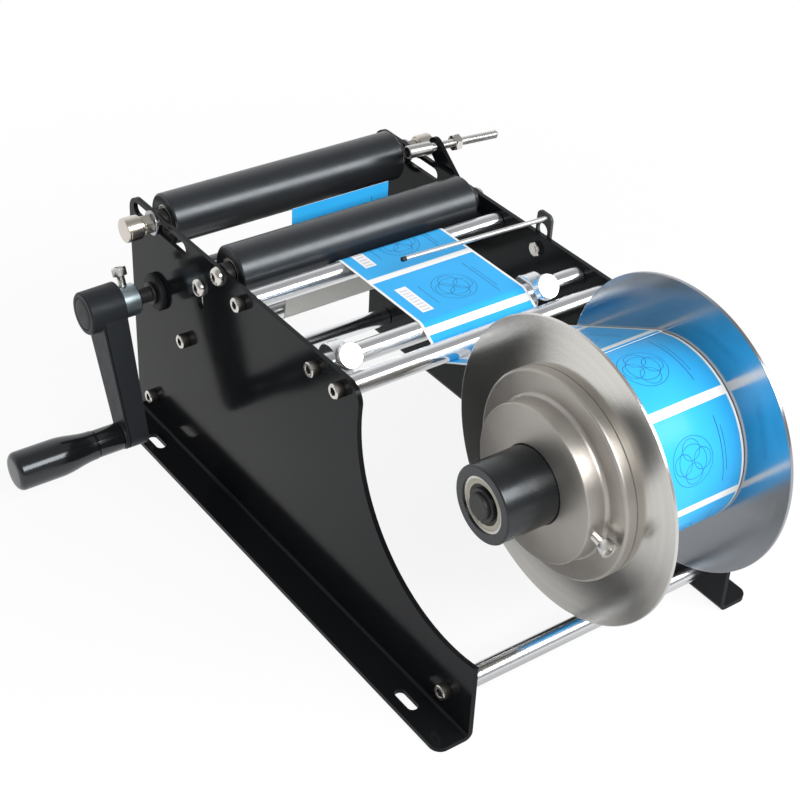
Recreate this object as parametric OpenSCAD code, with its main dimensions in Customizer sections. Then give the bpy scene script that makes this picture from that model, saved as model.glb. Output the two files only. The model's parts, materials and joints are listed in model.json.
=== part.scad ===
// Hand-cranked bench machine that peels labels off a roll and rolls them onto a round bottle.
// The bottle lies on the two black rollers at the top. The crank winds up the empty liner,
// which pulls the label web off the reel, over the guide rods and round the peel edge.
// Working frame of the modules: X from the left plate's outer face to the right,
// Y from the plates' front edge to the rear, Z up from the bench.

/* [Side plates] */
// Length of a side plate along the bench
plate_len = 372; // [352:1:400]
// Height of the plates' top edge over the bench
plate_height = 165.5; // [162:0.5:172]
// Thickness of the sheet steel
sheet = 3; // [2.5:0.1:4]
// Clear width between the two plates
inside_width = 187; // [180:1:205]
// Width of the foot turned outwards, from the plate's outer face
foot_width = 21; // [18:0.5:28]
// Inside radius of the bend between plate and foot
bend_radius = 2; // [1:0.5:4]
// Radius of the plates' top corners
plate_corner = 11; // [6:0.5:14]
// Radius of the foot's outer corners
foot_corner = 7; // [3:0.5:9]
// Room between the left plate's curved front and the reel discs
reel_room = 5.5; // [4:0.5:9]

/* [Bench slots] */
// Length of a bench slot from end to end
bench_slot_len = 18; // [12:0.5:24]
// Width of a bench slot
bench_slot_w = 6.5; // [5:0.1:8]
// Distance of the slots from the plate's outer face
bench_slot_out = 12; // [10:0.5:13]
// Distance of the front slot from the plates' front edge
bench_slot_front = 41; // [30:1:60]
// Distance between the front and the rear slot
bench_slot_pitch = 286; // [240:1:292]

/* [Tie rods] */
// Diameter of the polished rods
rod_d = 12.5; // [11:0.5:13]
// Diameter of the front bottom rod
front_rod_d = 12; // [10:0.5:14]
// Height of the three rods that guide the web, below the plates' top edge
guide_drop = 9.5; // [9:0.1:12]
// Distance of the rod where the web enters from the front edge
entry_rod_y = 130.4; // [128:0.2:136]
// Distance from the entry rod to the rod with the edge guides
guide_rod_step = 24.6; // [22:0.2:28]
// Distance of the web rod in front of the front roller
web_rod_step = 27; // [26:0.2:30]
// Distance of the front bottom rod from the front edge and from the bench
front_rod_inset = 21; // [18:0.5:26]
// Distance of the rear bottom rod from the rear edge and from the bench
rear_rod_inset = 22.5; // [18:0.5:28]
// Thread of the cap screws in the rods
rod_screw_d = 5.5; // [4:0.5:6]
// Depth of the screws in the rods
rod_screw_grip = 12; // [8:1:16]

/* [Rollers] */
// Diameter of the front roller
front_roller_d = 33.2; // [31:0.2:35]
// Diameter of the rear roller
rear_roller_d = 33.2; // [31:0.2:35]
// Distance between the two rollers, from axis to axis
roller_pitch = 80; // [76:0.5:86]
// Distance of the rear roller's axis from the plates' rear edge
rear_roller_inset = 31; // [28:0.5:36]
// Height of the front roller's axis below the plates' top edge
front_roller_drop = 5.2; // [4:0.2:7]
// Height of the rear roller's axis below the plates' top edge
rear_roller_drop = 7.2; // [6:0.2:9]
// Free gap between the rollers' left ends and the plate
roller_left_gap = 5; // [3:0.5:8]
// Free gap between the rollers' right ends and the plate
roller_right_gap = 8.5; // [4:0.5:10]
// Diameter of the roller axles
axle_d = 10; // [9:0.5:10]
// Outside diameter of the roller bearings
roller_bearing_od = 19; // [18:0.5:20]
// Width of the roller bearings
roller_bearing_w = 5; // [4:0.5:7]
// Diameter of the rear axle's threaded ends
axle_end_d = 8; // [6:0.5:8]
// Travel of the rear axle towards the front, as far as the bottle stop lets it
axle_travel_front = 20; // [10:0.5:20]
// Travel of the rear axle towards the rear
axle_travel_rear = 20; // [10:0.5:21]
// Length of the slot in front of the axle's travel
slot_spare = 17; // [4:0.5:19]
// Diameter of the rear axle's knobs
knob_d = 16; // [14:0.5:18]
// Length of the rear axle's knobs
knob_len = 12; // [9:0.5:15]
// Thread of the pan head screws at the front axle and the peel plate
pan_screw_d = 6; // [5:0.5:6]

/* [Peel plate] */
// Thickness of the peel plate
peel_t = 2; // [1.5:0.1:3]
// Height of the peel plate's blade
peel_height = 26; // [24:0.5:30]
// Distance of the blade behind the front roller's axis
peel_step = 29; // [28:0.5:31]
// Height of the peel edge below the plates' top edge
peel_drop = 13.5; // [12:0.5:14.5]
// Travel that the slots in the plates give the peel plate
peel_slot_len = 20; // [16:0.5:22]

/* [Crank] */
// Height of the crank shaft over the bench
crank_height = 109.5; // [108:0.5:114]
// Distance of the crank shaft from the plates' rear edge
crank_inset = 33.2; // [30:0.2:36]
// Diameter of the crank shaft
shaft_d = 10; // [8:0.5:11]
// Length of the crank arm from the shaft to the grip
crank_len = 82.5; // [76:0.5:88]
// Angle of the crank at rest, forward from straight down
crank_rest = 22; // [0:1:30]
// Angle of the boss's set screw at rest, back from straight up
set_screw_lean = 25; // [0:1:45]
// Diameter of the crank's hub
hub_d = 29; // [26:0.5:34]
// Length of the crank's hub
hub_len = 24; // [22:0.5:30]
// Thickness of the crank arm at the hub
arm_t = 17.5; // [14:0.5:20]
// How much thinner the arm is at the grip
arm_taper = 3.5; // [0:0.5:5]
// Width of the crank arm at the hub
arm_root_d = 24; // [20:0.5:26]
// Diameter of the crank's end at the grip
arm_end_d = 19; // [18.5:0.5:22]
// Depth of the groove round the edge of the arm's outer face
arm_groove = 1.2; // [0.6:0.1:2]
// Length of the grip
grip_len = 73; // [60:1:84]
// Diameter of the grip at its thick end
grip_d = 25; // [22:0.5:28]
// Diameter of the grip's neck
grip_neck_d = 18; // [16:0.5:18.5]
// Diameter of the pin that the grip turns on
grip_pin_d = 8; // [6:0.5:8]
// Diameter of the plated boss between arm and plate
boss_d = 21; // [18:0.5:24]
// Length of the plated boss
boss_len = 13; // [10:0.5:15]
// Diameter of the bush's flange on the plate
bush_d = 25; // [22:0.5:28]
// Diameter of the tube that winds up the liner
mandrel_d = 25; // [20:0.5:26]
// Thickness of the liner wound on it
wound_t = 2.5; // [1:0.25:5]

/* [Reel] */
// Distance of the reel's axis from the plates' front edge
reel_y = 22; // [20:0.2:24]
// Height of the reel's axis below the plates' top edge
reel_drop = 23.2; // [21:0.2:26]
// Diameter of the reel's discs
disc_d = 173; // [160:1:174]
// Thickness of the reel's discs
disc_t = 2; // [1.5:0.1:3]
// Diameter of the rotating sleeve
sleeve_d = 44; // [40:0.5:46]
// Distance of the sleeve's end from the left plate's outer face
sleeve_start = 13.8; // [8:0.2:16]
// Diameter of the fixed spindle
spindle_d = 15; // [14:0.5:16]
// Outside diameter of the reel's bearings
reel_bearing_od = 32; // [30:0.5:33]
// Width of the reel's bearings
reel_bearing_w = 9; // [7:0.5:10]
// Diameter of a collar's flange
collar_flange_d = 118; // [105:1:125]
// Diameter of a collar's hub
collar_hub_d = 89; // [80:1:96]
// Thickness of a collar's flange
collar_flange_t = 7; // [5:0.5:9]
// Length of a collar's hub
collar_hub_len = 12.5; // [11:0.5:15]
// Direction of the clamp bolts, degrees round the reel from the rear
clamp_angle = 188; // [170:1:200]
// Distance of the inner disc from the right plate
reel_offset = 43.6; // [38:0.2:48]

/* [Labels] */
// Width of the label web
web_w = 77; // [60:1:80]
// Thickness of the web, liner and label together
web_t = 0.3; // [0.25:0.05:0.5]
// Diameter of the label roll
roll_d = 108; // [80:1:114]
// Thickness of the cardboard core's wall
core_wall = 3; // [2:0.25:5]
// Free margin of the liner beside the labels
label_margin = 2; // [1:0.25:4]
// Height to which the peeled label stands over the peel edge
label_rise = 20; // [10:0.5:21]

/* [Edge guides] */
// Diameter of the guide collars
guide_d = 23; // [20:0.5:25]
// Width of the guide collars
guide_w = 9.5; // [8:0.5:10]
// Distance of the left guide from the left plate's inner face
left_guide_park = 10.2; // [10:0.2:30]
// Distance of the right guide from the edge of the web
right_guide_gap = 7; // [7:0.2:20]
// Diameter of the thumb screws' heads
thumb_d = 15.5; // [13:0.5:16]
// Thickness of the thumb screws' heads
thumb_t = 7; // [5:0.5:9]
// Angle of the thumb screws, up from the front
thumb_angle = 38; // [25:1:60]

/* [Bottle stop and finger] */
// Height of the stop over the plates' top edge
stop_rise = 9.9; // [8.5:0.1:11]
// Distance of the stop behind the front roller's axis
stop_step = 47.5; // [44:0.5:48]
// Diameter of the stop's sleeve
stop_sleeve_d = 8.6; // [7.4:0.2:10]
// Length of the stop's sleeve
stop_sleeve_len = 18.8; // [14:0.2:24]
// Diameter of the stop's threaded rod
stop_rod_d = 5.6; // [4.5:0.1:6.2]
// Angle at which the stop's rod droops to the outside
stop_droop = 4; // [0:0.5:6]
// Length of the stop's threaded rod
stop_rod_len = 56; // [40:1:60]
// Distance of the stop's nut from the bracket
stop_nut_gap = 12; // [8:0.5:16]
// Thickness of the stop's bracket
bracket_t = 3; // [2:0.1:4]
// Distance of the finger's pivot in front of the web rod
finger_step = 39; // [34:0.2:42]
// Length of the finger's lever from the pivot to the rod
finger_lever_len = 21.6; // [20:0.2:23]
// Diameter of the finger's rod
finger_d = 3; // [2:0.1:4]
// Length of the finger's rod inside the plate
finger_len = 107; // [80:1:115]
// Angle at which the finger's rod rises towards its tip
finger_tilt = 2; // [0:0.5:3]

/* [Fits] */
// Radial clearance of turning and sliding fits
run_gap = 0.05; // [0.02:0.01:0.1]
// Radial clearance of fixed fits and threads
seat_gap = 0.03; // [0.02:0.01:0.05]
// Gap between the web and what turns beside it
web_gap = 0.3; // [0.2:0.05:0.4]

/* [Hidden] */
$fn = 64;

// Small cut allowance, so that cutters run past the faces they open
cut = 1;
// Chamfer on turned ends
edge = 0.6;

// Planes across the machine
right_in = sheet + inside_width;
right_out = right_in + sheet;

// Axes in the plane of the plates, each a pair of Y and Z
rear_axis = [plate_len - rear_roller_inset, plate_height - rear_roller_drop];
front_axis = [rear_axis[0] - roller_pitch, plate_height - front_roller_drop];
crank_axis = [plate_len - crank_inset, crank_height];
reel_axis = [reel_y, plate_height - reel_drop];
guide_z = plate_height - guide_drop;
entry_axis = [entry_rod_y, guide_z];
guide_axis = [entry_rod_y + guide_rod_step, guide_z];
web_axis = [front_axis[0] - web_rod_step, guide_z];
front_tie_axis = [front_rod_inset, front_rod_inset];
rear_tie_axis = [plate_len - rear_rod_inset, rear_rod_inset];
// The liner rod stands in front of and below the take-up tube
liner_step = [36.4, 16.7];
liner_axis = crank_axis - liner_step;
peel_axis = [front_axis[0] + peel_step, plate_height - peel_drop - peel_t / 2];
peel_screw_axis = peel_axis - [pan_screw_d + 0.5, peel_slot_len / 2];
stop_axis = [front_axis[0] + stop_step, plate_height + stop_rise];
finger_axis = [web_axis[0] - finger_step, guide_z - 1];
rod_axes = [web_axis, liner_axis, guide_axis, rear_tie_axis, entry_axis, front_tie_axis];

// Radii that several pieces share
rod_r = rod_d / 2;
axle_r = axle_d / 2;
shaft_r = shaft_d / 2;
sleeve_r = sleeve_d / 2;
spindle_r = spindle_d / 2;
front_cut_r = disc_d / 2 + reel_room;
wound_r = mandrel_d / 2 + wound_t;

// Heads and nuts
cap_head_d = 1.7 * rod_screw_d;
cap_head_h = rod_screw_d;
pan_head_d = 2 * pan_screw_d;
pan_head_h = 0.6 * pan_screw_d;
axle_nut_af = 1.45 * axle_end_d;
axle_nut_h = 0.8 * axle_end_d;
axle_washer_t = 1.6;
axle_washer_d = 2 * axle_end_d;

// Crank pieces along X, outwards from the left plate
bush_flange_t = 4;
snap_t = 1.6;
snap_start = bush_flange_t + 0.6;
snap_groove = 0.5;
boss_start = 15.8;
arm_in = boss_start + boss_len;
arm_out = arm_in + arm_t;
hub_out = arm_in + hub_len;
cap_t = 2.5;
arm_pad = 1.5;
grip_start = arm_out + arm_pad + 0.1;
grip_end = grip_start + grip_len;
grip_axis = crank_axis + crank_len * [-sin(crank_rest), -cos(crank_rest)];
mandrel_start = sheet + 9;
mandrel_end = right_in - 9;
boss_spigot_d = shaft_d + 4;

// Reel pieces along X
web_right = right_in - reel_offset - 0.4;
web_left = web_right - web_w;
inner_disc_x = web_right + 0.4;
outer_disc_x = web_left - 0.4 - disc_t;
spindle_flange_t = 0.4 * spindle_d;
sleeve_end = right_in - spindle_flange_t - 3;
spindle_stud_d = 0.8 * spindle_d;
core_r = sleeve_r + 0.25;
clamp_bolt_d = 5.5;
clamp_bolt_out = 7;

// Guides and stop along X
left_guide_x = sheet + left_guide_park;
right_guide_x = web_right + right_guide_gap;
thumb_screw_d = 5;
bracket_x = right_out;
stop_x = right_out - 3.6;

// Overall box: the part's own origin is the middle of its footprint
x_low = -grip_end;
x_high = bracket_x + (stop_x + stop_rod_len - bracket_x) * cos(stop_droop) + stop_rod_d / 2 * sin(stop_droop);
y_low = reel_axis[0] - disc_d / 2;
y_high = plate_len;
origin = [(x_low + x_high) / 2, (y_low + y_high) / 2, 0];

// Places a piece of the working frame in the part's own frame
module placed() translate(-origin) children();

// Extrudes a drawing of the Y-Z plane along X
module across(x0, x1) translate([x0, 0, 0]) rotate([90, 0, 90]) linear_extrude(height = x1 - x0) children();

// Round bar along X
module bar(axis, x0, x1, r) translate([x0, axis[0], axis[1]]) rotate([0, 90, 0]) cylinder(h = x1 - x0, r = r);

// Solid turned about an axis along X, from pairs of radius and X
module turned(axis, profile) translate([0, axis[0], axis[1]]) rotate([0, 90, 0]) rotate_extrude() polygon(profile);

// Ring along X with chamfered outer edges
module ring(axis, x0, x1, r_in, r_out, chamfer = edge)
    turned(axis, [[r_in, x0], [r_out - chamfer, x0], [r_out, x0 + chamfer], [r_out, x1 - chamfer],
                  [r_out - chamfer, x1], [r_in, x1]]);

// Outline of two circles and their common tangents
module link(p, rp, q, rq) {
    gap = norm(q - p);
    dir = atan2(q[1] - p[1], q[0] - p[0]);
    lean = acos((rp - rq) / gap);
    up = [cos(dir + lean), sin(dir + lean)];
    down = [cos(dir - lean), sin(dir - lean)];
    translate(p) circle(r = rp);
    translate(q) circle(r = rq);
    polygon([p + rp * up, p + rp * down, q + rq * down, q + rq * up]);
}

// Slot outline between two points
module slot(p, q, width) link(p, width / 2, q, width / 2);

// What a rounded outer corner takes off a square one, with its corner at the origin
module corner_cut(r) {
    difference() {
        translate([-cut, -cut]) square(r + cut);
        translate([r, r]) circle(r = r);
    }
}

// Hexagon nut along X with a round bore
module hex_nut(axis, x0, h, across_flats, bore_r) {
    translate([x0, axis[0], axis[1]]) rotate([0, 90, 0]) difference() {
        cylinder(h = h, d = across_flats / cos(30), $fn = 6);
        translate([0, 0, -cut]) cylinder(h = h + 2 * cut, r = bore_r);
    }
}

// Socket cap screw: the head's seat is at the origin, the shank points along +Z
module cap_screw(d, length, head_d, head_h) {
    cylinder(h = length, d = d);
    difference() {
        translate([0, 0, -head_h]) cylinder(h = head_h, d = head_d);
        translate([0, 0, -head_h - cut]) cylinder(h = 0.5 * head_h + cut, d = 0.9 * d, $fn = 6);
    }
}

// Pan head screw along X: seat at x, shank towards +X for dir 1 and towards -X for dir -1
module pan_screw(axis, x, dir, length) {
    r = pan_head_d / 2;
    translate([x, axis[0], axis[1]]) rotate([0, 90 * dir, 0]) {
        cylinder(h = length, d = pan_screw_d);
        difference() {
            rotate_extrude() polygon([[0, 0], [r, 0], [r, -0.35 * pan_head_h], [0.82 * r, -0.8 * pan_head_h],
                                      [0.5 * r, -pan_head_h], [0, -pan_head_h]]);
            translate([0, 0, -pan_head_h - cut]) cylinder(h = 0.6 * pan_head_h + cut, d = 0.6 * pan_screw_d, $fn = 6);
        }
    }
}

// Profile of plate and foot, seen along Y, with the foot at negative X
module plate_section() {
    difference() {
        union() {
            square([sheet, plate_height]);
            translate([-foot_width, 0]) square([foot_width + cut, sheet]);
            translate([-bend_radius, sheet - cut]) square([bend_radius + cut, bend_radius + cut]);
        }
        translate([-bend_radius, sheet + bend_radius]) circle(r = bend_radius);
        translate([sheet, 0]) mirror([1, 0]) corner_cut(bend_radius + sheet);
    }
}

// Bent plate along Y, before any cut
module plate_blank() rotate([90, 0, 0]) mirror([0, 0, 1]) linear_extrude(height = plate_len) plate_section();

// Openings that both plates have, in the Y-Z plane
module shared_holes() {
    for (axis = rod_axes) translate(axis) circle(d = rod_screw_d + 0.5);
    translate(front_axis) circle(d = pan_screw_d + 0.4);
    translate(crank_axis) circle(d = shaft_d + 6 + 2 * seat_gap);
    slot(rear_axis - [axle_travel_front + slot_spare, 0], rear_axis + [axle_travel_rear + 1, 0], axle_end_d + 0.4);
    slot(peel_screw_axis - [0, 0.6 * peel_slot_len], peel_screw_axis + [0, 0.1 * peel_slot_len], pan_screw_d + 0.4);
    translate([plate_len, plate_height]) mirror([1, 0]) mirror([0, 1]) corner_cut(plate_corner);
}

// Rounded corners and bench slots of a foot, in the X-Y plane
module foot_cuts() {
    translate([-foot_width, 0]) corner_cut(foot_corner);
    translate([-foot_width, plate_len]) mirror([0, 1]) corner_cut(foot_corner);
    for (y = [bench_slot_front, bench_slot_front + bench_slot_pitch]) {
        reach = (bench_slot_len - bench_slot_w) / 2;
        slot([-bench_slot_out, y - reach], [-bench_slot_out, y + reach], bench_slot_w);
    }
}

// Front of the left plate: an arc round the reel, so that the roll can be slipped on from the left.
// The arc and the rounded top corner cross by a hair, so that they meet in a clear-cut point.
module reel_clearance() {
    graze = 0.05;
    fillet_z = plate_height - plate_corner;
    reach = front_cut_r + plate_corner - graze;
    fillet = [reel_axis[0] + sqrt(pow(reach, 2) - pow(fillet_z - reel_axis[1], 2)), fillet_z];
    inside = reel_axis + (fillet - reel_axis) * (front_cut_r - plate_corner / 2) / reach;
    translate(reel_axis) circle(r = front_cut_r);
    difference() {
        polygon([inside, fillet, [fillet[0], plate_height + cut], [inside[0] - plate_corner, plate_height + cut]]);
        translate(fillet) circle(r = plate_corner);
    }
}

module left_side_plate() color("#17181a") difference() {
    plate_blank();
    across(-cut, sheet + cut) {
        shared_holes();
        reel_clearance();
    }
    translate([0, 0, -cut]) linear_extrude(height = sheet + 2 * cut) foot_cuts();
}

module right_side_plate() color("#17181a") translate([right_out, 0, 0]) mirror([1, 0, 0]) difference() {
    plate_blank();
    across(-cut, sheet + cut) {
        shared_holes();
        translate([0, plate_height]) mirror([0, 1]) corner_cut(plate_corner);
        translate(reel_axis) circle(d = spindle_stud_d + 2 * seat_gap);
        translate(finger_axis) circle(d = rod_screw_d + 2 * seat_gap);
    }
    translate([0, 0, -cut]) linear_extrude(height = sheet + 2 * cut) foot_cuts();
}

// Polished rod between the plates, bored at both ends for its screws
module tie_rod(axis, d) {
    bore_r = rod_screw_d / 2 + seat_gap;
    bore_len = rod_screw_grip + 2;
    color("#d9dcdf") difference() {
        ring(axis, sheet, right_in, 0, d / 2);
        bar(axis, sheet - cut, sheet + bore_len, bore_r);
        bar(axis, right_in - bore_len, right_in + cut, bore_r);
    }
}
module web_rod() tie_rod(web_axis, rod_d);
module liner_rod() tie_rod(liner_axis, rod_d);
module guide_rod() tie_rod(guide_axis, rod_d);
module rear_tie_rod() tie_rod(rear_tie_axis, rod_d);
module entry_rod() tie_rod(entry_axis, rod_d);
module front_tie_rod() tie_rod(front_tie_axis, front_rod_d);

module tie_rod_screws() color("#b9bcc0") for (axis = rod_axes) {
    length = sheet + rod_screw_grip;
    translate([0, axis[0], axis[1]]) rotate([0, 90, 0]) cap_screw(rod_screw_d, length, cap_head_d, cap_head_h);
    translate([right_out, axis[0], axis[1]]) rotate([0, -90, 0])
        cap_screw(rod_screw_d, length, cap_head_d, cap_head_h);
}

// Roller tube with a seat for a bearing in each end
module roller(axis, d) {
    x0 = sheet + roller_left_gap;
    x1 = right_in - roller_right_gap;
    seat_r = roller_bearing_od / 2 + seat_gap;
    depth = roller_bearing_w + 0.5;
    inner_r = roller_bearing_od / 2 - 1.5;
    color("#1c1d1f") turned(axis, [
        [seat_r, x0], [d / 2 - 1, x0], [d / 2, x0 + 1], [d / 2, x1 - 1], [d / 2 - 1, x1], [seat_r, x1],
        [seat_r, x1 - depth], [inner_r, x1 - depth], [inner_r, x0 + depth], [seat_r, x0 + depth]
    ]);
}

// Ball bearing as one ring, with a shallow shield between its races on both faces
module bearing(axis, x, w, bore_r, outer_r) {
    race = (outer_r - bore_r) / 4;
    dip = 0.4;
    color("#c9c6be") turned(axis, [
        [bore_r, x], [bore_r + race, x], [bore_r + race, x + dip], [outer_r - race, x + dip], [outer_r - race, x],
        [outer_r, x], [outer_r, x + w], [outer_r - race, x + w], [outer_r - race, x + w - dip],
        [bore_r + race, x + w - dip], [bore_r + race, x + w], [bore_r, x + w]
    ]);
}

// Bearings in both ends of a roller, set in by half a millimetre
module roller_bearings(axis)
    for (x = [sheet + roller_left_gap + 0.5, right_in - roller_right_gap - 0.5 - roller_bearing_w])
        bearing(axis, x, roller_bearing_w, axle_r + run_gap, roller_bearing_od / 2);

// Sleeves on an axle that keep the bearings off the plates
module axle_spacers(axis) color("#8d9094") {
    to_bearing = 0.4;
    r_out = axle_r + 2;
    ring(axis, sheet + run_gap, sheet + roller_left_gap + to_bearing, axle_r + seat_gap, r_out, 0.3);
    ring(axis, right_in - roller_right_gap - to_bearing, right_in - run_gap, axle_r + seat_gap, r_out, 0.3);
}

module front_roller() roller(front_axis, front_roller_d);
module front_roller_bearings() roller_bearings(front_axis);
module front_axle_spacers() axle_spacers(front_axis);
module rear_roller() roller(rear_axis, rear_roller_d);
module rear_roller_bearings() roller_bearings(rear_axis);
module rear_axle_spacers() axle_spacers(rear_axis);

module front_axle() color("#a9acb0") {
    bore_r = pan_screw_d / 2 + seat_gap;
    difference() {
        bar(front_axis, sheet, right_in, axle_r);
        bar(front_axis, sheet - cut, sheet + 14, bore_r);
        bar(front_axis, right_in - 14, right_in + cut, bore_r);
    }
}

module pan_head_screws() color("#c8c4ba") {
    axle_grip = sheet + 12;
    peel_grip = sheet + peel_t + 0.8 * pan_screw_d + 1;
    pan_screw(front_axis, 0, 1, axle_grip);
    pan_screw(front_axis, right_out, -1, axle_grip);
    pan_screw(peel_screw_axis, 0, 1, peel_grip);
    pan_screw(peel_screw_axis, right_out + bracket_t, -1, peel_grip + bracket_t);
}

// Rear axle: full size between the plates, threaded ends through the slots
module rear_axle() color("#a9acb0") {
    end_r = axle_end_d / 2;
    out = axle_washer_t + axle_nut_h + 0.4 + 0.7 * knob_len;
    turned(rear_axis, [
        [0, -out], [end_r - edge, -out], [end_r, edge - out], [end_r, sheet + run_gap], [axle_r, sheet + run_gap],
        [axle_r, right_in - run_gap], [end_r, right_in - run_gap], [end_r, right_out + out - edge],
        [end_r - edge, right_out + out], [0, right_out + out]
    ]);
}

module rear_axle_washers() color("#c3c0b8") {
    bore_r = axle_end_d / 2 + seat_gap;
    ring(rear_axis, -axle_washer_t, -run_gap, bore_r, axle_washer_d / 2, 0.2);
    ring(rear_axis, right_out + run_gap, right_out + axle_washer_t, bore_r, axle_washer_d / 2, 0.2);
}

module rear_axle_nuts() color("#c3c0b8") {
    bore_r = axle_end_d / 2 + seat_gap;
    hex_nut(rear_axis, -axle_washer_t - 0.05 - axle_nut_h, axle_nut_h, axle_nut_af, bore_r);
    hex_nut(rear_axis, right_out + axle_washer_t + 0.05, axle_nut_h, axle_nut_af, bore_r);
}

// Round knob on an axle end, drawn for the left end: a blind bore takes the thread
module axle_knob() color("#cdc7bb") {
    x1 = -axle_washer_t - axle_nut_h - 0.4;
    x0 = x1 - knob_len;
    r = knob_d / 2;
    bore_r = axle_end_d / 2 + run_gap;
    bore_x = x0 + 0.3 * knob_len - 0.5;
    turned(rear_axis, [
        [0, x0], [r - 1, x0], [r, x0 + 1], [r, x1 - 2.4], [r - 1.4, x1 - 1], [r - 1.4, x1], [bore_r, x1],
        [bore_r, bore_x], [0, bore_x]
    ]);
}
module left_axle_knob() axle_knob();
module right_axle_knob() translate([right_out, 0, 0]) mirror([1, 0, 0]) axle_knob();

// Peel plate: a thin upright blade with a rounded top edge and a tab at each end
module peel_plate() color("#9a9da1") {
    tab_r = 4 / 3 * pan_screw_d;
    tab = peel_screw_axis - [tab_r, tab_r];
    low = peel_axis[1] - peel_height;
    difference() {
        union() {
            across(sheet, right_in) {
                translate(peel_axis) circle(d = peel_t);
                translate([peel_axis[0] - peel_t / 2, low]) square([peel_t, peel_height]);
            }
            for (x = [sheet, right_in - peel_t])
                across(x, x + peel_t) translate(tab) square([peel_axis[0] - tab[0], 2 * tab_r]);
        }
        bar(peel_screw_axis, 0, right_out, pan_screw_d / 2 + seat_gap);
    }
}

module peel_plate_nuts() color("#b9bcc0") {
    h = 0.8 * pan_screw_d;
    hex_nut(peel_screw_axis, sheet + peel_t, h, 1.65 * pan_screw_d, pan_screw_d / 2 + seat_gap);
    hex_nut(peel_screw_axis, right_in - peel_t - h, h, 1.65 * pan_screw_d, pan_screw_d / 2 + seat_gap);
}

// Crank shaft with a groove for a snap ring outside each plate
module crank_shaft() color("#a9acb0") {
    groove_r = shaft_r - snap_groove;
    left_end = -(hub_out - cap_t - 0.5);
    right_end = right_out + snap_start + snap_t + 2;
    turned(crank_axis, [
        [0, left_end], [shaft_r - edge, left_end], [shaft_r, left_end + edge],
        [shaft_r, -snap_start - snap_t], [groove_r, -snap_start - snap_t],
        [groove_r, -snap_start], [shaft_r, -snap_start],
        [shaft_r, right_out + snap_start], [groove_r, right_out + snap_start],
        [groove_r, right_out + snap_start + snap_t], [shaft_r, right_out + snap_start + snap_t],
        [shaft_r, right_end - edge], [shaft_r - edge, right_end], [0, right_end]
    ]);
}

// Flanged bush, drawn for the left plate
module crank_bush() {
    spigot_r = shaft_r + 3;
    inside = sheet + 5;
    turned(crank_axis, [
        [shaft_r + run_gap, -bush_flange_t], [bush_d / 2 - 1, -bush_flange_t], [bush_d / 2, 1 - bush_flange_t],
        [bush_d / 2, 0], [spigot_r, 0], [spigot_r, inside], [shaft_r + run_gap, inside]
    ]);
}
module crank_bushes() color("#0f1011") {
    crank_bush();
    translate([right_out, 0, 0]) mirror([1, 0, 0]) crank_bush();
}

module shaft_snap_rings() color("#141516") {
    side = 0.05;
    for (x = [-snap_start - snap_t, right_out + snap_start])
        ring(crank_axis, x + side, x + snap_t - side, shaft_r - snap_groove + seat_gap, shaft_r + 2.4, 0.2);
}

// Tube on the shaft that winds up the empty liner, slit along its length to take the liner's end
module takeup_mandrel() color("#202124") {
    slit_w = 1.6;
    difference() {
        ring(crank_axis, mandrel_start, mandrel_end, shaft_r + seat_gap, mandrel_d / 2);
        translate([web_left - 4, crank_axis[0] - slit_w / 2, crank_axis[1] + shaft_r + 2])
            cube([web_w + 8, slit_w, mandrel_d]);
    }
}

module wound_liner() color("#e9e6dc")
    ring(crank_axis, web_left, web_right, mandrel_d / 2 + seat_gap, wound_r, 0.1);

// Plated boss that carries the crank on the shaft, with a spigot inside the arm's hub
module crank_boss() color("#9fb0b6") {
    spigot_end = hub_out - cap_t - 1;
    difference() {
        turned(crank_axis, [
            [shaft_r + seat_gap, -spigot_end], [boss_spigot_d / 2, -spigot_end], [boss_spigot_d / 2, -arm_in],
            [boss_d / 2, -arm_in], [boss_d / 2, -boss_start - 1], [boss_d / 2 - 1, -boss_start],
            [shaft_r + seat_gap, -boss_start]
        ]);
        translate([-boss_start - boss_len / 2, crank_axis[0], crank_axis[1]]) rotate([-set_screw_lean, 0, 0])
            cylinder(h = boss_d, d = rod_screw_d + 2 * seat_gap);
    }
}

module crank_set_screw() color("#c9c9c6")
    translate([-boss_start - boss_len / 2, crank_axis[0], crank_axis[1]]) rotate([-set_screw_lean, 0, 0])
    translate([0, 0, boss_d / 2 + 6]) mirror([0, 0, 1])
    cap_screw(rod_screw_d, boss_d / 2 + 6 - shaft_r - 0.2, cap_head_d, cap_head_h);

// Bar of the crank: it tapers both ways, and a groove runs round the edge of its outer face
module crank_bar() {
    root_r = arm_root_d / 2;
    end_r = arm_end_d / 2;
    lip = 0.6;
    top = -hub_d / 4;
    low = -crank_len - end_r - cut;
    difference() {
        across(-arm_out, -arm_in) link(crank_axis, root_r, grip_axis, end_r);
        across(-arm_out + lip, -arm_out + lip + arm_groove) difference() {
            link(crank_axis, root_r + cut, grip_axis, end_r + cut);
            link(crank_axis, root_r - arm_groove, grip_axis, end_r - arm_groove);
        }
        translate([0, crank_axis[0], crank_axis[1]]) rotate([90 - crank_rest, 0, 0])
            linear_extrude(height = 2 * hub_d, center = true)
            polygon([[-arm_in, top], [-arm_in - arm_taper, low], [cut - arm_in, low], [cut - arm_in, top]]);
    }
}

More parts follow.
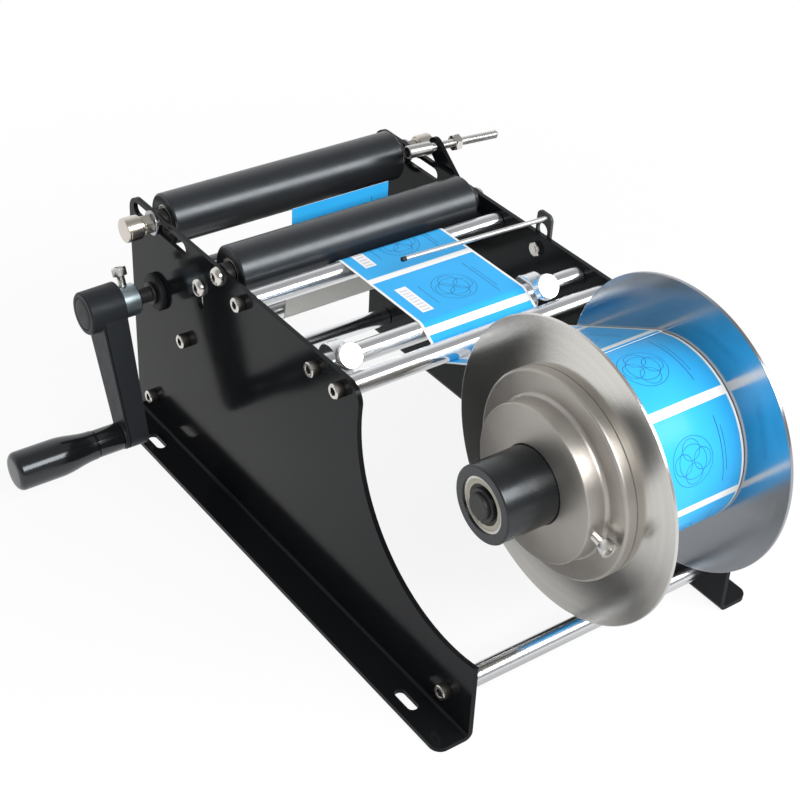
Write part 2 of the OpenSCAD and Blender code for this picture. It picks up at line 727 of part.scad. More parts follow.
// Crank arm: a long hub, the bar and a round pad that the grip runs against
module crank_arm() color("#26282b") {
    hub_r = hub_d / 2;
    difference() {
        union() {
            crank_bar();
            turned(crank_axis, [
                [0, -hub_out], [hub_r - 1.5, -hub_out], [hub_r - 0.6, 1 - hub_out], [hub_r, -arm_in], [0, -arm_in]
            ]);
            bar(grip_axis, -arm_out - arm_pad, 0.3 - arm_out, grip_neck_d / 2);
        }
        bar(crank_axis, -hub_out - cut, -arm_in + cut, boss_spigot_d / 2 + seat_gap);
        bar(crank_axis, -hub_out - cut, -hub_out + cap_t, hub_r - 4 + seat_gap);
        bar(grip_axis, -arm_out - arm_pad - cut, -arm_in + cut, grip_pin_d / 2 + seat_gap);
    }
}

module crank_hub_cap() color("#1d1e21") {
    r = hub_d / 2 - 4;
    turned(crank_axis, [[0, -hub_out - 0.6], [r - 3, -hub_out - 0.5], [r - 0.6, -hub_out], [r, -hub_out + 0.6],
                        [r, -hub_out + cap_t - 0.05], [0, -hub_out + cap_t - 0.05]]);
}

// Pin of the grip, with a bead near its end that keeps the grip on
bead = [0.8, 3];
pin_end = 0.8;
module grip_pin() color("#8d9094") {
    r = grip_pin_d / 2;
    tip = grip_start + pin_end * grip_len;
    in_end = arm_in + arm_taper;
    turned(grip_axis, [
        [0, -tip], [r - edge, -tip], [r, edge - tip], [r, 4 - tip], [r + bead[0], 4 - tip],
        [r + bead[0], 4 + bead[1] - tip], [r, 4 + bead[1] - tip], [r, -in_end], [0, -in_end]
    ]);
}

// Grip: a straight neck, a step and a swelling body with a rounded end
module handle_grip() color("#101113") {
    r_pin = grip_pin_d / 2 + run_gap;
    tip = grip_start + pin_end * grip_len;
    neck = 0.25 * grip_len;
    swell = 0.36 * grip_len;
    round_end = 4;
    steps = 8;
    body_r = grip_neck_d / 2 + 0.4;
    end_r = grip_d / 2;
    rise = [for (i = [0 : steps]) [body_r + (end_r - body_r) * (1 - cos(180 * i / steps)) / 2,
                                   -(grip_start + neck + swell * i / steps)]];
    nose = [for (i = [0 : 5]) [end_r - round_end * (1 - cos(18 * i)), -(grip_end - round_end * (1 - sin(18 * i)))]];
    bore = [[0, 0.3 + tip], [r_pin, 0.3 + tip], [r_pin, tip - 3.8], [r_pin + bead[0], tip - 3.8],
            [r_pin + bead[0], tip - 4.2 - bead[1]], [r_pin, tip - 4.2 - bead[1]], [r_pin, grip_start]];
    turned(grip_axis, concat(
        [[grip_neck_d / 2 - edge, -grip_start], [grip_neck_d / 2, -grip_start - edge],
         [grip_neck_d / 2, -(grip_start + neck - 0.8)], [grip_neck_d / 2 - 0.6, -(grip_start + neck - 0.4)]],
        rise, nose, [[0, -grip_end]], [for (p = bore) [p[0], -p[1]]]));
}

// Fixed spindle of the reel, bolted to the right plate by its stud
module spindle_shaft() color("#1a1b1d") {
    x0 = sleeve_start - 2.6;
    flange_x = right_in - spindle_flange_t;
    flange_r = 1.15 * spindle_d;
    stud_end = right_out + 1.15 * spindle_stud_d;
    stud_r = spindle_stud_d / 2;
    groove = circlip_x();
    turned(reel_axis, [
        [0, x0], [spindle_r - edge, x0], [spindle_r, x0 + edge], [spindle_r, groove], [spindle_r - 0.7, groove],
        [spindle_r - 0.7, groove + 1.2], [spindle_r, groove + 1.2], [spindle_r, flange_x], [flange_r, flange_x],
        [flange_r, right_in], [stud_r, right_in], [stud_r, stud_end - edge], [stud_r - edge, stud_end],
        [0, stud_end]
    ]);
}

module spindle_nut() color("#b9bcc0") {
    washer_t = 2;
    bore_r = spindle_stud_d / 2 + seat_gap;
    ring(reel_axis, right_out, right_out + washer_t, bore_r, spindle_stud_d, 0.3);
    hex_nut(reel_axis, right_out + washer_t + 0.05, 0.8 * spindle_stud_d, 1.55 * spindle_stud_d, bore_r);
}

// The circlip sits just outside the left bearing
function circlip_x() = sleeve_start + 1 - 1.3;
module spindle_circlip() color("#111213") {
    thick = 1;
    lug = [reel_axis[0], reel_axis[1] - spindle_r - 1.6];
    x0 = circlip_x() + 0.1;
    difference() {
        across(x0, x0 + thick) {
            translate(reel_axis) circle(r = spindle_r + 2);
            for (side = [-1, 1]) translate(lug + [1.6 * side, 0]) circle(r = 1.5);
        }
        bar(reel_axis, x0 - cut, x0 + thick + cut, spindle_r - 0.7 + seat_gap);
        translate([x0 - cut, reel_axis[0] - 0.5, reel_axis[1] - spindle_d]) cube([thick + 2 * cut, 1, spindle_d]);
    }
}

module reel_sleeve() color("#1c1d1f") {
    seat_r = reel_bearing_od / 2 + seat_gap;
    depth = reel_bearing_w + 1;
    inner_r = reel_bearing_od / 2 - 2;
    turned(reel_axis, [
        [seat_r, sleeve_start], [sleeve_r - 0.8, sleeve_start], [sleeve_r, sleeve_start + 0.8],
        [sleeve_r, sleeve_end - 0.8], [sleeve_r - 0.8, sleeve_end], [seat_r, sleeve_end],
        [seat_r, sleeve_end - depth], [inner_r, sleeve_end - depth], [inner_r, sleeve_start + depth],
        [seat_r, sleeve_start + depth]
    ]);
}

module reel_bearings() for (x = [sleeve_start + 1, sleeve_end - 1 - reel_bearing_w])
    bearing(reel_axis, x, reel_bearing_w, spindle_r + run_gap, reel_bearing_od / 2);

// Thin disc beside the label roll
module reel_disc(x, bore_gap) color("#b7b3ac")
    ring(reel_axis, x, x + disc_t, sleeve_r + bore_gap, disc_d / 2, 0.3);
module inner_disc() reel_disc(inner_disc_x, seat_gap);
module outer_disc() reel_disc(outer_disc_x, run_gap);

// Cast collar behind a disc: x is the disc's face, dir the way in which the collar points
module reel_collar(x, dir, bore_gap) color("#a39d95") {
    fr = collar_flange_d / 2;
    hr = collar_hub_d / 2;
    ft = collar_flange_t;
    end = collar_flange_t + collar_hub_len;
    bolt = collar_bolt_place(x, dir);
    difference() {
        translate([x, reel_axis[0], reel_axis[1]]) rotate([0, 90 * dir, 0]) rotate_extrude() polygon([
            [sleeve_r + bore_gap, 0], [fr, 0], [fr, ft - 1.5], [fr - 1.5, ft], [hr + 2.5, ft], [hr + 0.8, ft + 0.8],
            [hr, ft + 2.5], [hr, end - 1], [hr - 1, end], [sleeve_r + bore_gap, end]
        ]);
        translate(bolt) rotate([clamp_angle - 90, 0, 0])
            cylinder(h = collar_hub_d, d = clamp_bolt_d + 2 * seat_gap);
    }
}

// Place of a clamp bolt on the reel's axis, in the middle of a collar's hub
function collar_bolt_place(x, dir) =
    [x + dir * (collar_flange_t + collar_hub_len / 2 + 0.8), reel_axis[0], reel_axis[1]];

module inner_collar() reel_collar(inner_disc_x + disc_t, 1, seat_gap);
module outer_collar() reel_collar(outer_disc_x, -1, run_gap);

// Radial cap screw that clamps a collar on the sleeve
module clamp_bolt(x, dir) color("#c6c6c2") {
    seat = collar_hub_d / 2 + clamp_bolt_out;
    translate(collar_bolt_place(x, dir)) rotate([clamp_angle - 90, 0, 0]) translate([0, 0, seat]) mirror([0, 0, 1])
        cap_screw(clamp_bolt_d, seat - sleeve_r - 0.4, 1.7 * clamp_bolt_d, clamp_bolt_d);
}
module inner_clamp_bolt() clamp_bolt(inner_disc_x + disc_t, 1);
module outer_clamp_bolt() clamp_bolt(outer_disc_x, -1);

module label_core() color("#b08a5b") ring(reel_axis, web_left, web_right, core_r, core_r + core_wall, 0.2);
module label_roll() color("#3aa3ea")
    ring(reel_axis, web_left, web_right, core_r + core_wall + seat_gap, roll_d / 2, 0.2);

// Route of the web through the machine: centre, radius of the web's middle, 1 for over and -1 for under
half_t = web_t / 2;
touch_gap = 0.1;
roll_stop = [reel_axis, roll_d / 2 + web_gap + half_t, 1];
entry_stop = [entry_axis, rod_r + touch_gap + half_t, -1];
guide_stop = [guide_axis, rod_r + touch_gap + half_t, 1];
web_stop = [web_axis, rod_r + touch_gap + half_t, 1];
roller_stop = [front_axis, front_roller_d / 2 + web_gap + half_t, -1];
peel_stop = [peel_axis, peel_t / 2 + touch_gap + half_t, 1];
liner_stop = [liner_axis, rod_r + touch_gap + half_t, -1];
wound_stop = [crank_axis, wound_r + web_gap + half_t, -1];
feed_route = [roll_stop, entry_stop, guide_stop, web_stop, roller_stop, peel_stop];
liner_route = [peel_stop, liner_stop, wound_stop];
// Turn of the web round the peel edge that still belongs to the feeding side
peel_turn = -30;
// Stretch of the web that still lies on the roll, in degrees
lead_in = 8;
arc_steps = 10;

// Direction of the straight stretch from one stop to the next
function heading(a, b) =
    let (d = b[0] - a[0])
    atan2(d[1], d[0]) - asin((a[2] * a[1] - b[2] * b[1]) / norm(d));

// Points round one stop, at a distance from the web's middle, while the heading turns from h0 to h1
function round_stop(s, h0, h1, side) =
    [for (i = [0 : arc_steps]) let (h = h0 + (h1 - h0) * i / arc_steps)
        s[0] + (s[2] * s[1] + side) * [-sin(h), cos(h)]];

// One side of the web along a whole route, with the first and the last heading given
function route_side(route, first, last, side) =
    let (n = len(route) - 1)
    [for (i = [0 : n]) each round_stop(
        route[i],
        i == 0 ? first : heading(route[i - 1], route[i]),
        i == n ? last : heading(route[i], route[i + 1]),
        side)];

function reversed(list) = [for (i = [len(list) - 1 : -1 : 0]) list[i]];

// Strip of paper along a route
module strip(route, first, last, x0, x1, side_in, side_out) across(x0, x1)
    polygon(concat(route_side(route, first, last, side_out), reversed(route_side(route, first, last, side_in))));

module label_web() color("#3aa3ea")
    strip(feed_route, heading(roll_stop, entry_stop) + lead_in, peel_turn, web_left, web_right, -half_t, half_t);

module return_liner() color("#f1efe8")
    strip(liner_route, peel_turn, heading(liner_stop, wound_stop) + lead_in, web_left, web_right, -half_t, half_t);

// Label that has come off the liner: it leaves the peel edge level and curls up
module leading_label() color("#3aa3ea") {
    curl = 2.5;
    start = [peel_axis[0] - 1, peel_axis[1] + peel_t / 2 + touch_gap + web_t + 0.15];
    centre = start + [0, curl + half_t];
    bend = [for (i = [0 : 9]) [sin(10 * i), -cos(10 * i)]];
    top = peel_axis[1] + label_rise;
    outer = concat([for (b = bend) centre + (curl + half_t) * b], [[centre[0] + curl + half_t, top]]);
    inner = concat([for (b = bend) centre + (curl - half_t) * b], [[centre[0] + curl - half_t, top]]);
    across(web_left + label_margin, web_right - label_margin) polygon(concat(outer, reversed(inner)));
}

// Ring on the guide rod that keeps the web in line, tapped for its thumb screw
thumb_dir = [0, -cos(thumb_angle), sin(thumb_angle)];
module guide_collar(x) color("#b8bcc0") difference() {
    ring(guide_axis, x - guide_w / 2, x + guide_w / 2, rod_r + run_gap, guide_d / 2);
    translate([x, guide_axis[0], guide_axis[1]]) rotate([90 - thumb_angle, 0, 0])
        cylinder(h = guide_d, d = thumb_screw_d + 2 * run_gap);
}
module left_guide_collar() guide_collar(left_guide_x);
module right_guide_collar() guide_collar(right_guide_x);

// Thumb screw with a stepped round head
module thumb_screw(x) color("#d4d6d8") translate([x, guide_axis[0], guide_axis[1]]) rotate([90 - thumb_angle, 0, 0]) {
    head = guide_d / 2 + 0.4;
    r = thumb_d / 2;
    rotate_extrude() polygon([
        [0, rod_r + 0.3], [thumb_screw_d / 2, rod_r + 0.3], [thumb_screw_d / 2, head], [r - 3, head], [r - 3, head + 1.2],
        [r - 0.5, head + 1.2], [r, head + 1.7], [r, head + thumb_t - 0.5], [r - 0.5, head + thumb_t],
        [0, head + thumb_t]
    ]);
}
module left_thumb_screw() thumb_screw(left_guide_x);
module right_thumb_screw() thumb_screw(right_guide_x);

// Tilts a piece of the bottle stop about the bracket's hole, so that it droops to the outside
module stop_placed() translate([bracket_x, stop_axis[0], stop_axis[1]]) rotate([0, stop_droop, 0])
    translate([-bracket_x, -stop_axis[0], -stop_axis[1]]) children();

// Arm outside the right plate, clamped under the peel plate's screw, that carries the bottle stop
module stop_bracket() color("#17181a") {
    foot_r = 1.5 * pan_screw_d;
    knee_r = 4 / 3 * pan_screw_d;
    head_r = 1.16 * stop_rod_d;
    knee = peel_screw_axis + pan_screw_d * [0.6, 2.7];
    difference() {
        across(bracket_x, bracket_x + bracket_t) {
            link(peel_screw_axis, foot_r, knee, knee_r);
            link(knee, knee_r, stop_axis, head_r);
        }
        bar(peel_screw_axis, bracket_x - cut, bracket_x + bracket_t + cut, pan_screw_d / 2 + 0.2);
        stop_placed() bar(stop_axis, bracket_x - bracket_t, bracket_x + 2 * bracket_t, stop_rod_d / 2 + run_gap);
    }
}

// Bottle stop: a threaded rod with a round sleeve at its inner end
module stop_bolt() color("#b9b6b0") stop_placed() {
    x0 = stop_x - stop_sleeve_len;
    x1 = stop_x + stop_rod_len;
    sr = stop_sleeve_d / 2;
    rr = stop_rod_d / 2;
    bore_r = 0.75 * sr;
    bore_len = 4;
    turned(stop_axis, [
        [0, x0 + bore_len + 1], [bore_r, x0 + bore_len], [bore_r, x0], [sr - edge, x0], [sr, x0 + edge],
        [sr, stop_x - edge], [sr - edge, stop_x],
        [rr, stop_x], [rr, x1 - edge], [rr - edge, x1], [0, x1]
    ]);
}

module stop_nut() color("#c3c0b8") stop_placed()
    hex_nut(stop_axis, bracket_x + bracket_t + stop_nut_gap, 0.9 * stop_rod_d, 1.8 * stop_rod_d,
            stop_rod_d / 2 + seat_gap);

// Lever outside the right plate with the thin finger that reaches over the web
module finger_lever() color("#2b2d2f") {
    lever_t = 2;
    side_gap = 0.3;
    unit = finger_lever_len / 10;
    foot_r = 3.3 * unit;
    rear_r = 1.85 * unit;
    front_r = 1.95 * unit;
    hole_r = 2.1 * unit;
    tip = finger_axis + unit * [-1.1, 10];
    rear = tip + unit * [2.2, -0.5];
    front = tip - unit * [0.35, 0.65];
    hole = tip + unit * [1.2, -4.5];
    x0 = right_out + side_gap;
    difference() {
        across(x0, x0 + lever_t) {
            link(finger_axis, foot_r, rear, rear_r);
            link(finger_axis, foot_r, front, front_r);
            link(front, front_r, rear, rear_r);
            polygon([finger_axis, rear, front]);
        }
        bar(finger_axis, x0 - cut, x0 + lever_t + cut, rod_screw_d / 2 + run_gap);
        bar(hole, x0 - cut, x0 + lever_t + cut, hole_r);
    }
    translate([x0 + 0.5, tip[0], tip[1]]) rotate([0, finger_tilt - 90, 0])
        cylinder(h = finger_len + x0 - right_in, d = finger_d);
}

// Bolt and nut that the finger's lever swings on
module finger_pivot() color("#b9bcc0") {
    lever_space = 2.6;
    nut_h = 2.6;
    bolt_end = 0.5;
    bolt_r = rod_screw_d / 2;
    translate([right_out + lever_space, finger_axis[0], finger_axis[1]]) rotate([0, -90, 0])
        cap_screw(rod_screw_d, lever_space + sheet + nut_h + bolt_end, cap_head_d, cap_head_h);
    hex_nut(finger_axis, right_in - nut_h, nut_h, 1.6 * rod_screw_d, bolt_r + seat_gap);
}

placed() left_side_plate();
placed() right_side_plate();
placed() web_rod();
placed() liner_rod();
placed() guide_rod();
placed() rear_tie_rod();
placed() entry_rod();
placed() front_tie_rod();
placed() tie_rod_screws();
placed() front_roller();
placed() front_roller_bearings();
placed() front_axle();
placed() front_axle_spacers();
placed() pan_head_screws();
placed() rear_roller();
placed() rear_roller_bearings();
placed() rear_axle();
placed() rear_axle_spacers();
placed() rear_axle_washers();
placed() rear_axle_nuts();
placed() left_axle_knob();
placed() right_axle_knob();
placed() peel_plate();
placed() peel_plate_nuts();
placed() crank_shaft();
placed() crank_bushes();
placed() shaft_snap_rings();
placed() takeup_mandrel();
placed() wound_liner();
placed() crank_boss();
placed() crank_set_screw();
placed() crank_arm();
placed() crank_hub_cap();
placed() grip_pin();
placed() handle_grip();
placed() spindle_shaft();
placed() spindle_nut();
placed() spindle_circlip();
placed() reel_sleeve();
placed() reel_bearings();
placed() inner_disc();
placed() inner_collar();
placed() inner_clamp_bolt();
placed() outer_disc();
placed() outer_collar();
placed() outer_clamp_bolt();
placed() label_core();
placed() label_roll();
placed() label_web();
placed() return_liner();
placed() leading_label();
placed() left_guide_collar();
placed() right_guide_collar();
placed() left_thumb_screw();
placed() right_thumb_screw();
placed() stop_bracket();
placed() stop_bolt();
placed() stop_nut();
placed() finger_lever();
placed() finger_pivot();
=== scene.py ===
"""Looks of a hand-cranked bottle labeling machine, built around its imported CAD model.

Units are metres in the CAD frame: X from the crank side to the right, Y from the reel to the rear, Z up.
Turned pieces, threads, printed paper and softened edges replace the plain CAD nodes one by one.
"""
import json
import math
from collections import namedtuple

import bmesh
import bpy
from mathutils import Matrix, Vector


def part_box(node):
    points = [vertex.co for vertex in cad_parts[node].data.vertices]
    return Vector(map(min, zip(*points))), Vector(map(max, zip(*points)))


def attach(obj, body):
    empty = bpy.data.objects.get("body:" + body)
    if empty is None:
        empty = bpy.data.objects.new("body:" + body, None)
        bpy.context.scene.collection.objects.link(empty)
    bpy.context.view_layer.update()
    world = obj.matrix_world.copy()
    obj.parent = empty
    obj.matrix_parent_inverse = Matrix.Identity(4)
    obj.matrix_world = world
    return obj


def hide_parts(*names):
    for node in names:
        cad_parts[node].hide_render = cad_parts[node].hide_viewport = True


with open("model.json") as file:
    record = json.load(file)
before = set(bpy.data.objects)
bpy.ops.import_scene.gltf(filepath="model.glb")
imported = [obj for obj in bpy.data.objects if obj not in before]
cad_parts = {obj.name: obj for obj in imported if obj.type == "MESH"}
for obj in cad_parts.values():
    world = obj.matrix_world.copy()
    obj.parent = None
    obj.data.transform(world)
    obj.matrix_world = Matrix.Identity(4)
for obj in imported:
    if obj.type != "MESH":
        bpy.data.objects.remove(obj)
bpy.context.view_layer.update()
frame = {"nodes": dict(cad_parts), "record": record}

MM = 0.001
RECORD = frame["record"]
BEHAVIOUR = RECORD["behaviour"]
BODY_OF = {node: body for body, nodes in BEHAVIOUR["bodies"].items() for node in nodes}
JOINT = {joint["name"]: joint for joint in BEHAVIOUR["joints"]}
X_AXIS = Vector((1, 0, 0))


# ---------------------------------------------------------------- places read from the frame

def middle(node):
    """Middle of a node's box."""
    low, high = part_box(node)
    return (low + high) / 2


def line(node):
    """Y and Z of the line along X that a node is centred on."""
    centre = middle(node)
    return Vector((centre.y, centre.z))


def span(node):
    """Lowest and highest X of a node."""
    low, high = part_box(node)
    return low.x, high.x


def radius(node):
    """Half the height of a node that is round about X."""
    low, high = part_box(node)
    return (high.z - low.z) / 2


def on_line(x, yz):
    """Point at x on a line along X."""
    return Vector((x, yz[0], yz[1]))


def way(joint):
    """Direction of a joint's axis."""
    return Vector(JOINT[joint]["axis"]).normalized()


# ---------------------------------------------------------------- node graphs of the materials

class Graph:
    """Short names for the shader nodes that the materials below are made of."""

    def __init__(self, name):
        self.material = bpy.data.materials.new(name)
        self.material.use_nodes = True
        self.tree = self.material.node_tree
        self.shader = self.tree.nodes["Principled BSDF"]
        self.place = self.tree.nodes.new("ShaderNodeTexCoord").outputs["Object"]

    def node(self, kind, **settings):
        made = self.tree.nodes.new(kind)
        for key, value in settings.items():
            setattr(made, key, value)
        return made

    def feed(self, socket, value):
        if isinstance(value, bpy.types.NodeSocket):
            self.tree.links.new(value, socket)
        else:
            socket.default_value = value

    def set(self, **values):
        """Sets sockets of the shader, with _ for the blanks in their names."""
        for key, value in values.items():
            self.feed(self.shader.inputs[key.replace("_", " ")], value)

    def math(self, operation, a, b=0.0):
        made = self.node("ShaderNodeMath", operation=operation)
        for socket, value in zip(made.inputs, (a, b)):
            self.feed(socket, value)
        return made.outputs[0]

    def parts(self, vector):
        made = self.node("ShaderNodeSeparateXYZ")
        self.feed(made.inputs[0], vector)
        return made.outputs

    def vector(self, x=0.0, y=0.0, z=0.0):
        made = self.node("ShaderNodeCombineXYZ")
        for socket, value in zip(made.inputs, (x, y, z)):
            self.feed(socket, value)
        return made.outputs[0]

    def scaled(self, vector, factors):
        made = self.node("ShaderNodeVectorMath", operation="MULTIPLY")
        self.feed(made.inputs[0], vector)
        made.inputs[1].default_value = factors
        return made.outputs[0]

    def noise(self, scale, detail=3.0, vector=None, rough=0.5):
        made = self.node("ShaderNodeTexNoise")
        self.feed(made.inputs["Vector"], self.place if vector is None else vector)
        made.inputs["Scale"].default_value = scale
        made.inputs["Detail"].default_value = detail
        made.inputs["Roughness"].default_value = rough
        return made.outputs["Fac"]

    def between(self, value, low, high):
        """1 where low < value < high, else 0."""
        above = self.math("GREATER_THAN", value, low)
        return self.math("MULTIPLY", above, self.math("LESS_THAN", value, high))

    def blend(self, a, b, share=0.5):
        """Sum of two values, a with the given share."""
        return self.math("ADD", self.math("MULTIPLY", a, share), self.math("MULTIPLY", b, 1 - share))

    def length(self, a, b):
        """Length of a way that goes a and then b at right angles."""
        squares = self.math("ADD", self.math("MULTIPLY", a, a), self.math("MULTIPLY", b, b))
        return self.math("SQRT", squares)

    def rise(self, distance, reach, low, high):
        """Goes from low to high over distances from 0 to reach."""
        return self.spread(self.math("MINIMUM", self.math("DIVIDE", distance, reach), 1.0), low, high)

    def spread(self, value, low, high):
        """Brings 0..1 to low..high."""
        made = self.node("ShaderNodeMapRange")
        self.feed(made.inputs["Value"], value)
        made.inputs["To Min"].default_value = low
        made.inputs["To Max"].default_value = high
        return made.outputs["Result"]

    def mix(self, factor, a, b):
        made = self.node("ShaderNodeMix", data_type="RGBA")
        self.feed(made.inputs["Factor"], factor)
        for name, value in (("A", a), ("B", b)):
            socket = [s for s in made.inputs if s.name == name and s.type == "RGBA"][0]
            self.feed(socket, value if isinstance(value, bpy.types.NodeSocket) else (*value, 1.0))
        return [s for s in made.outputs if s.type == "RGBA"][0]

    def bump(self, height, strength, distance=0.1 * MM):
        made = self.node("ShaderNodeBump")
        made.inputs["Strength"].default_value = strength
        made.inputs["Distance"].default_value = distance
        self.feed(made.inputs["Height"], height)
        self.feed(self.shader.inputs["Normal"], made.outputs["Normal"])

    def from_line(self, axis):
        """Distance of a point from a line along X through a pair of Y and Z."""
        _, y, z = self.parts(self.place)
        dy = self.math("SUBTRACT", y, axis[0])
        dz = self.math("SUBTRACT", z, axis[1])
        return self.length(dy, dz)


def tint(colour, factor):
    """A colour made darker or lighter."""
    return tuple(min(1.0, c * factor) for c in colour)


# Cool tint of the reflections on black pieces: painted light colour, standing in for a slightly cool light
COOL_SHEEN = (0.88, 0.95, 1.0, 1.0)
MOTTLE = 0.12
HAIR_DEPTH = 0.02 * MM


def painted(name, colour, gloss, peel, shine=0.5):
    """Paint, rubber or moulded plastic: fine grain, slight unevenness of gloss and colour."""
    g = Graph(name)
    cloud = g.noise(38.0, 4.0)
    grain = g.noise(1500.0, 2.0)
    g.set(Base_Color=g.mix(cloud, tint(colour, 1 - MOTTLE), tint(colour, 1 + MOTTLE)),
          Roughness=g.spread(g.noise(120.0, 5.0), 0.75 * gloss, 1.3 * gloss), Specular_IOR_Level=shine,
          Specular_Tint=COOL_SHEEN)
    g.bump(grain, peel)
    return g.material


def turned_metal(name, colour, gloss, lines=0.12, along=5200.0, cloudy=0.10, metallic=1.0):
    """Metal turned or ground about X: hair lines round the piece, faint stains in the gloss."""
    g = Graph(name)
    hair = g.noise(1.0, 2.0, g.scaled(g.place, (along, 40.0, 40.0)))
    stain = g.noise(55.0, 4.0)
    wear = g.blend(hair, stain)
    g.set(Base_Color=g.mix(stain, tint(colour, 1 - cloudy), tint(colour, 1 + cloudy)), Metallic=metallic,
          Roughness=g.spread(wear, 0.6 * gloss, 1.5 * gloss))
    g.bump(hair, lines, HAIR_DEPTH)
    return g.material


def brushed_disc(name, colour, gloss, axis, stretch):
    """Sheet steel brushed in circles about a line along X."""
    g = Graph(name)
    away = g.from_line(axis)
    hair = g.noise(1.0, 3.0, g.vector(g.math("MULTIPLY", away, 5200.0)), 0.7)
    broad = g.noise(1.0, 2.0, g.vector(g.math("MULTIPLY", away, 240.0)))
    stain = g.noise(26.0, 4.0)
    tangent = g.node("ShaderNodeTangent", direction_type="RADIAL", axis="X")
    shade = g.blend(hair, broad)
    g.set(Base_Color=g.mix(shade, tint(colour, 0.82), tint(colour, 1.16)), Metallic=1.0, Anisotropic=stretch,
          Roughness=g.spread(stain, 0.8 * gloss, 1.25 * gloss), Tangent=tangent.outputs[0])
    g.bump(hair, 0.10, HAIR_DEPTH)
    return g.material


def blasted(name, colour, gloss):
    """Casting with a bead-blasted skin."""
    g = Graph(name)
    pits = g.noise(1700.0, 4.0, None, 0.65)
    cloud = g.noise(60.0, 5.0)
    g.set(Base_Color=g.mix(g.blend(pits, cloud, 0.6), tint(colour, 0.72), tint(colour, 1.26)),
          Metallic=0.85, Roughness=g.spread(cloud, 0.85 * gloss, 1.15 * gloss))
    g.bump(pits, 0.35, 0.06 * MM)
    return g.material


def bearing_finish(name, axis, inner, outer):
    """Ball bearing seen from its face: a ground outer race, a cream shield, and an inner race painted near
    black as the shade of its recess.
    """
    g = Graph(name)
    shield_from = inner + 0.48 * (outer - inner)
    shield_to = outer - 0.16 * (outer - inner)
    away = g.from_line(axis)
    shield = g.between(away, shield_from, shield_to)
    race = g.between(away, 0.0, shield_from)
    hair = g.noise(1.0, 2.0, g.vector(g.math("MULTIPLY", away, 6000.0)))
    steel = g.mix(hair, (0.48, 0.47, 0.45), (0.72, 0.71, 0.69))
    cream = g.mix(g.noise(300.0), (0.36, 0.34, 0.28), (0.50, 0.47, 0.40))
    face = g.mix(shield, steel, cream)
    # The inner race is painted dark: painted shade of the recess round the shaft, not the steel's colour
    g.set(Base_Color=g.mix(race, face, (0.035, 0.034, 0.033)), Metallic=g.math("SUBTRACT", 1.0, shield),
          Roughness=g.spread(shield, 0.22, 0.45))
    g.bump(hair, 0.08, HAIR_DEPTH)
    return g.material


def paper(name, colour, gloss=0.45):
    """Plain paper or board: fine fibres and a faintly cloudy tone."""
    g = Graph(name)
    fibre = g.noise(2600.0, 4.0)
    cloud = g.noise(70.0, 3.0)
    g.set(Base_Color=g.mix(cloud, tint(colour, 0.94), tint(colour, 1.04)),
          Roughness=g.spread(cloud, 0.9 * gloss, 1.1 * gloss))
    g.bump(fibre, 0.12, 0.03 * MM)
    return g.material


def roll_side(axis):
    """Edges of the wound layers, seen on the side of a roll."""
    g = Graph("roll_side")
    layers = g.noise(1.0, 2.0, g.vector(g.math("MULTIPLY", g.from_line(axis), 2600.0)), 0.8)
    g.set(Base_Color=g.mix(layers, (0.55, 0.62, 0.70), (0.86, 0.86, 0.86)), Roughness=0.6)
    g.bump(layers, 0.3, 0.08 * MM)
    return g.material


# ---------------------------------------------------------------- label print, in millimetres

LABEL_PITCH = 58.0
LABEL_LENGTH = 52.8
LABEL_MARGIN = 1.6
WEB_WIDTH = (span("label_web")[1] - span("label_web")[0]) / MM
# boxes on a label: from and to across it, from and to along it
PATCH_BOX = (7.0, 15.0, 12.0, 41.0)
STRIPE_BOX = (8.2, 13.8, 13.5, 39.5)
RULE_BOXES = ((60.0, 60.5, 8.0, 45.0), (62.4, 62.8, 14.0, 39.0), (21.0, 21.4, 16.0, 37.0))
STRIPE_WAVES = (5.6, 1.9)
STRIPE_LEVEL = 0.35
ROSETTE_AT = (40.0, 26.4)
ROSETTE_RINGS = (13.6, 9.2)
PETALS, PETAL_AWAY, PETAL_R = 4, 6.5, 5.75
RING_LINE = 0.35
LINER_WHITE, PATCH_WHITE, STRIPE_GREY = (0.88, 0.88, 0.87), (0.88, 0.88, 0.90), (0.42, 0.42, 0.46)
DARK_BLUE, LIGHT_BLUE, INK = (0.028, 0.385, 0.80), (0.040, 0.430, 0.87), (0.012, 0.05, 0.16)


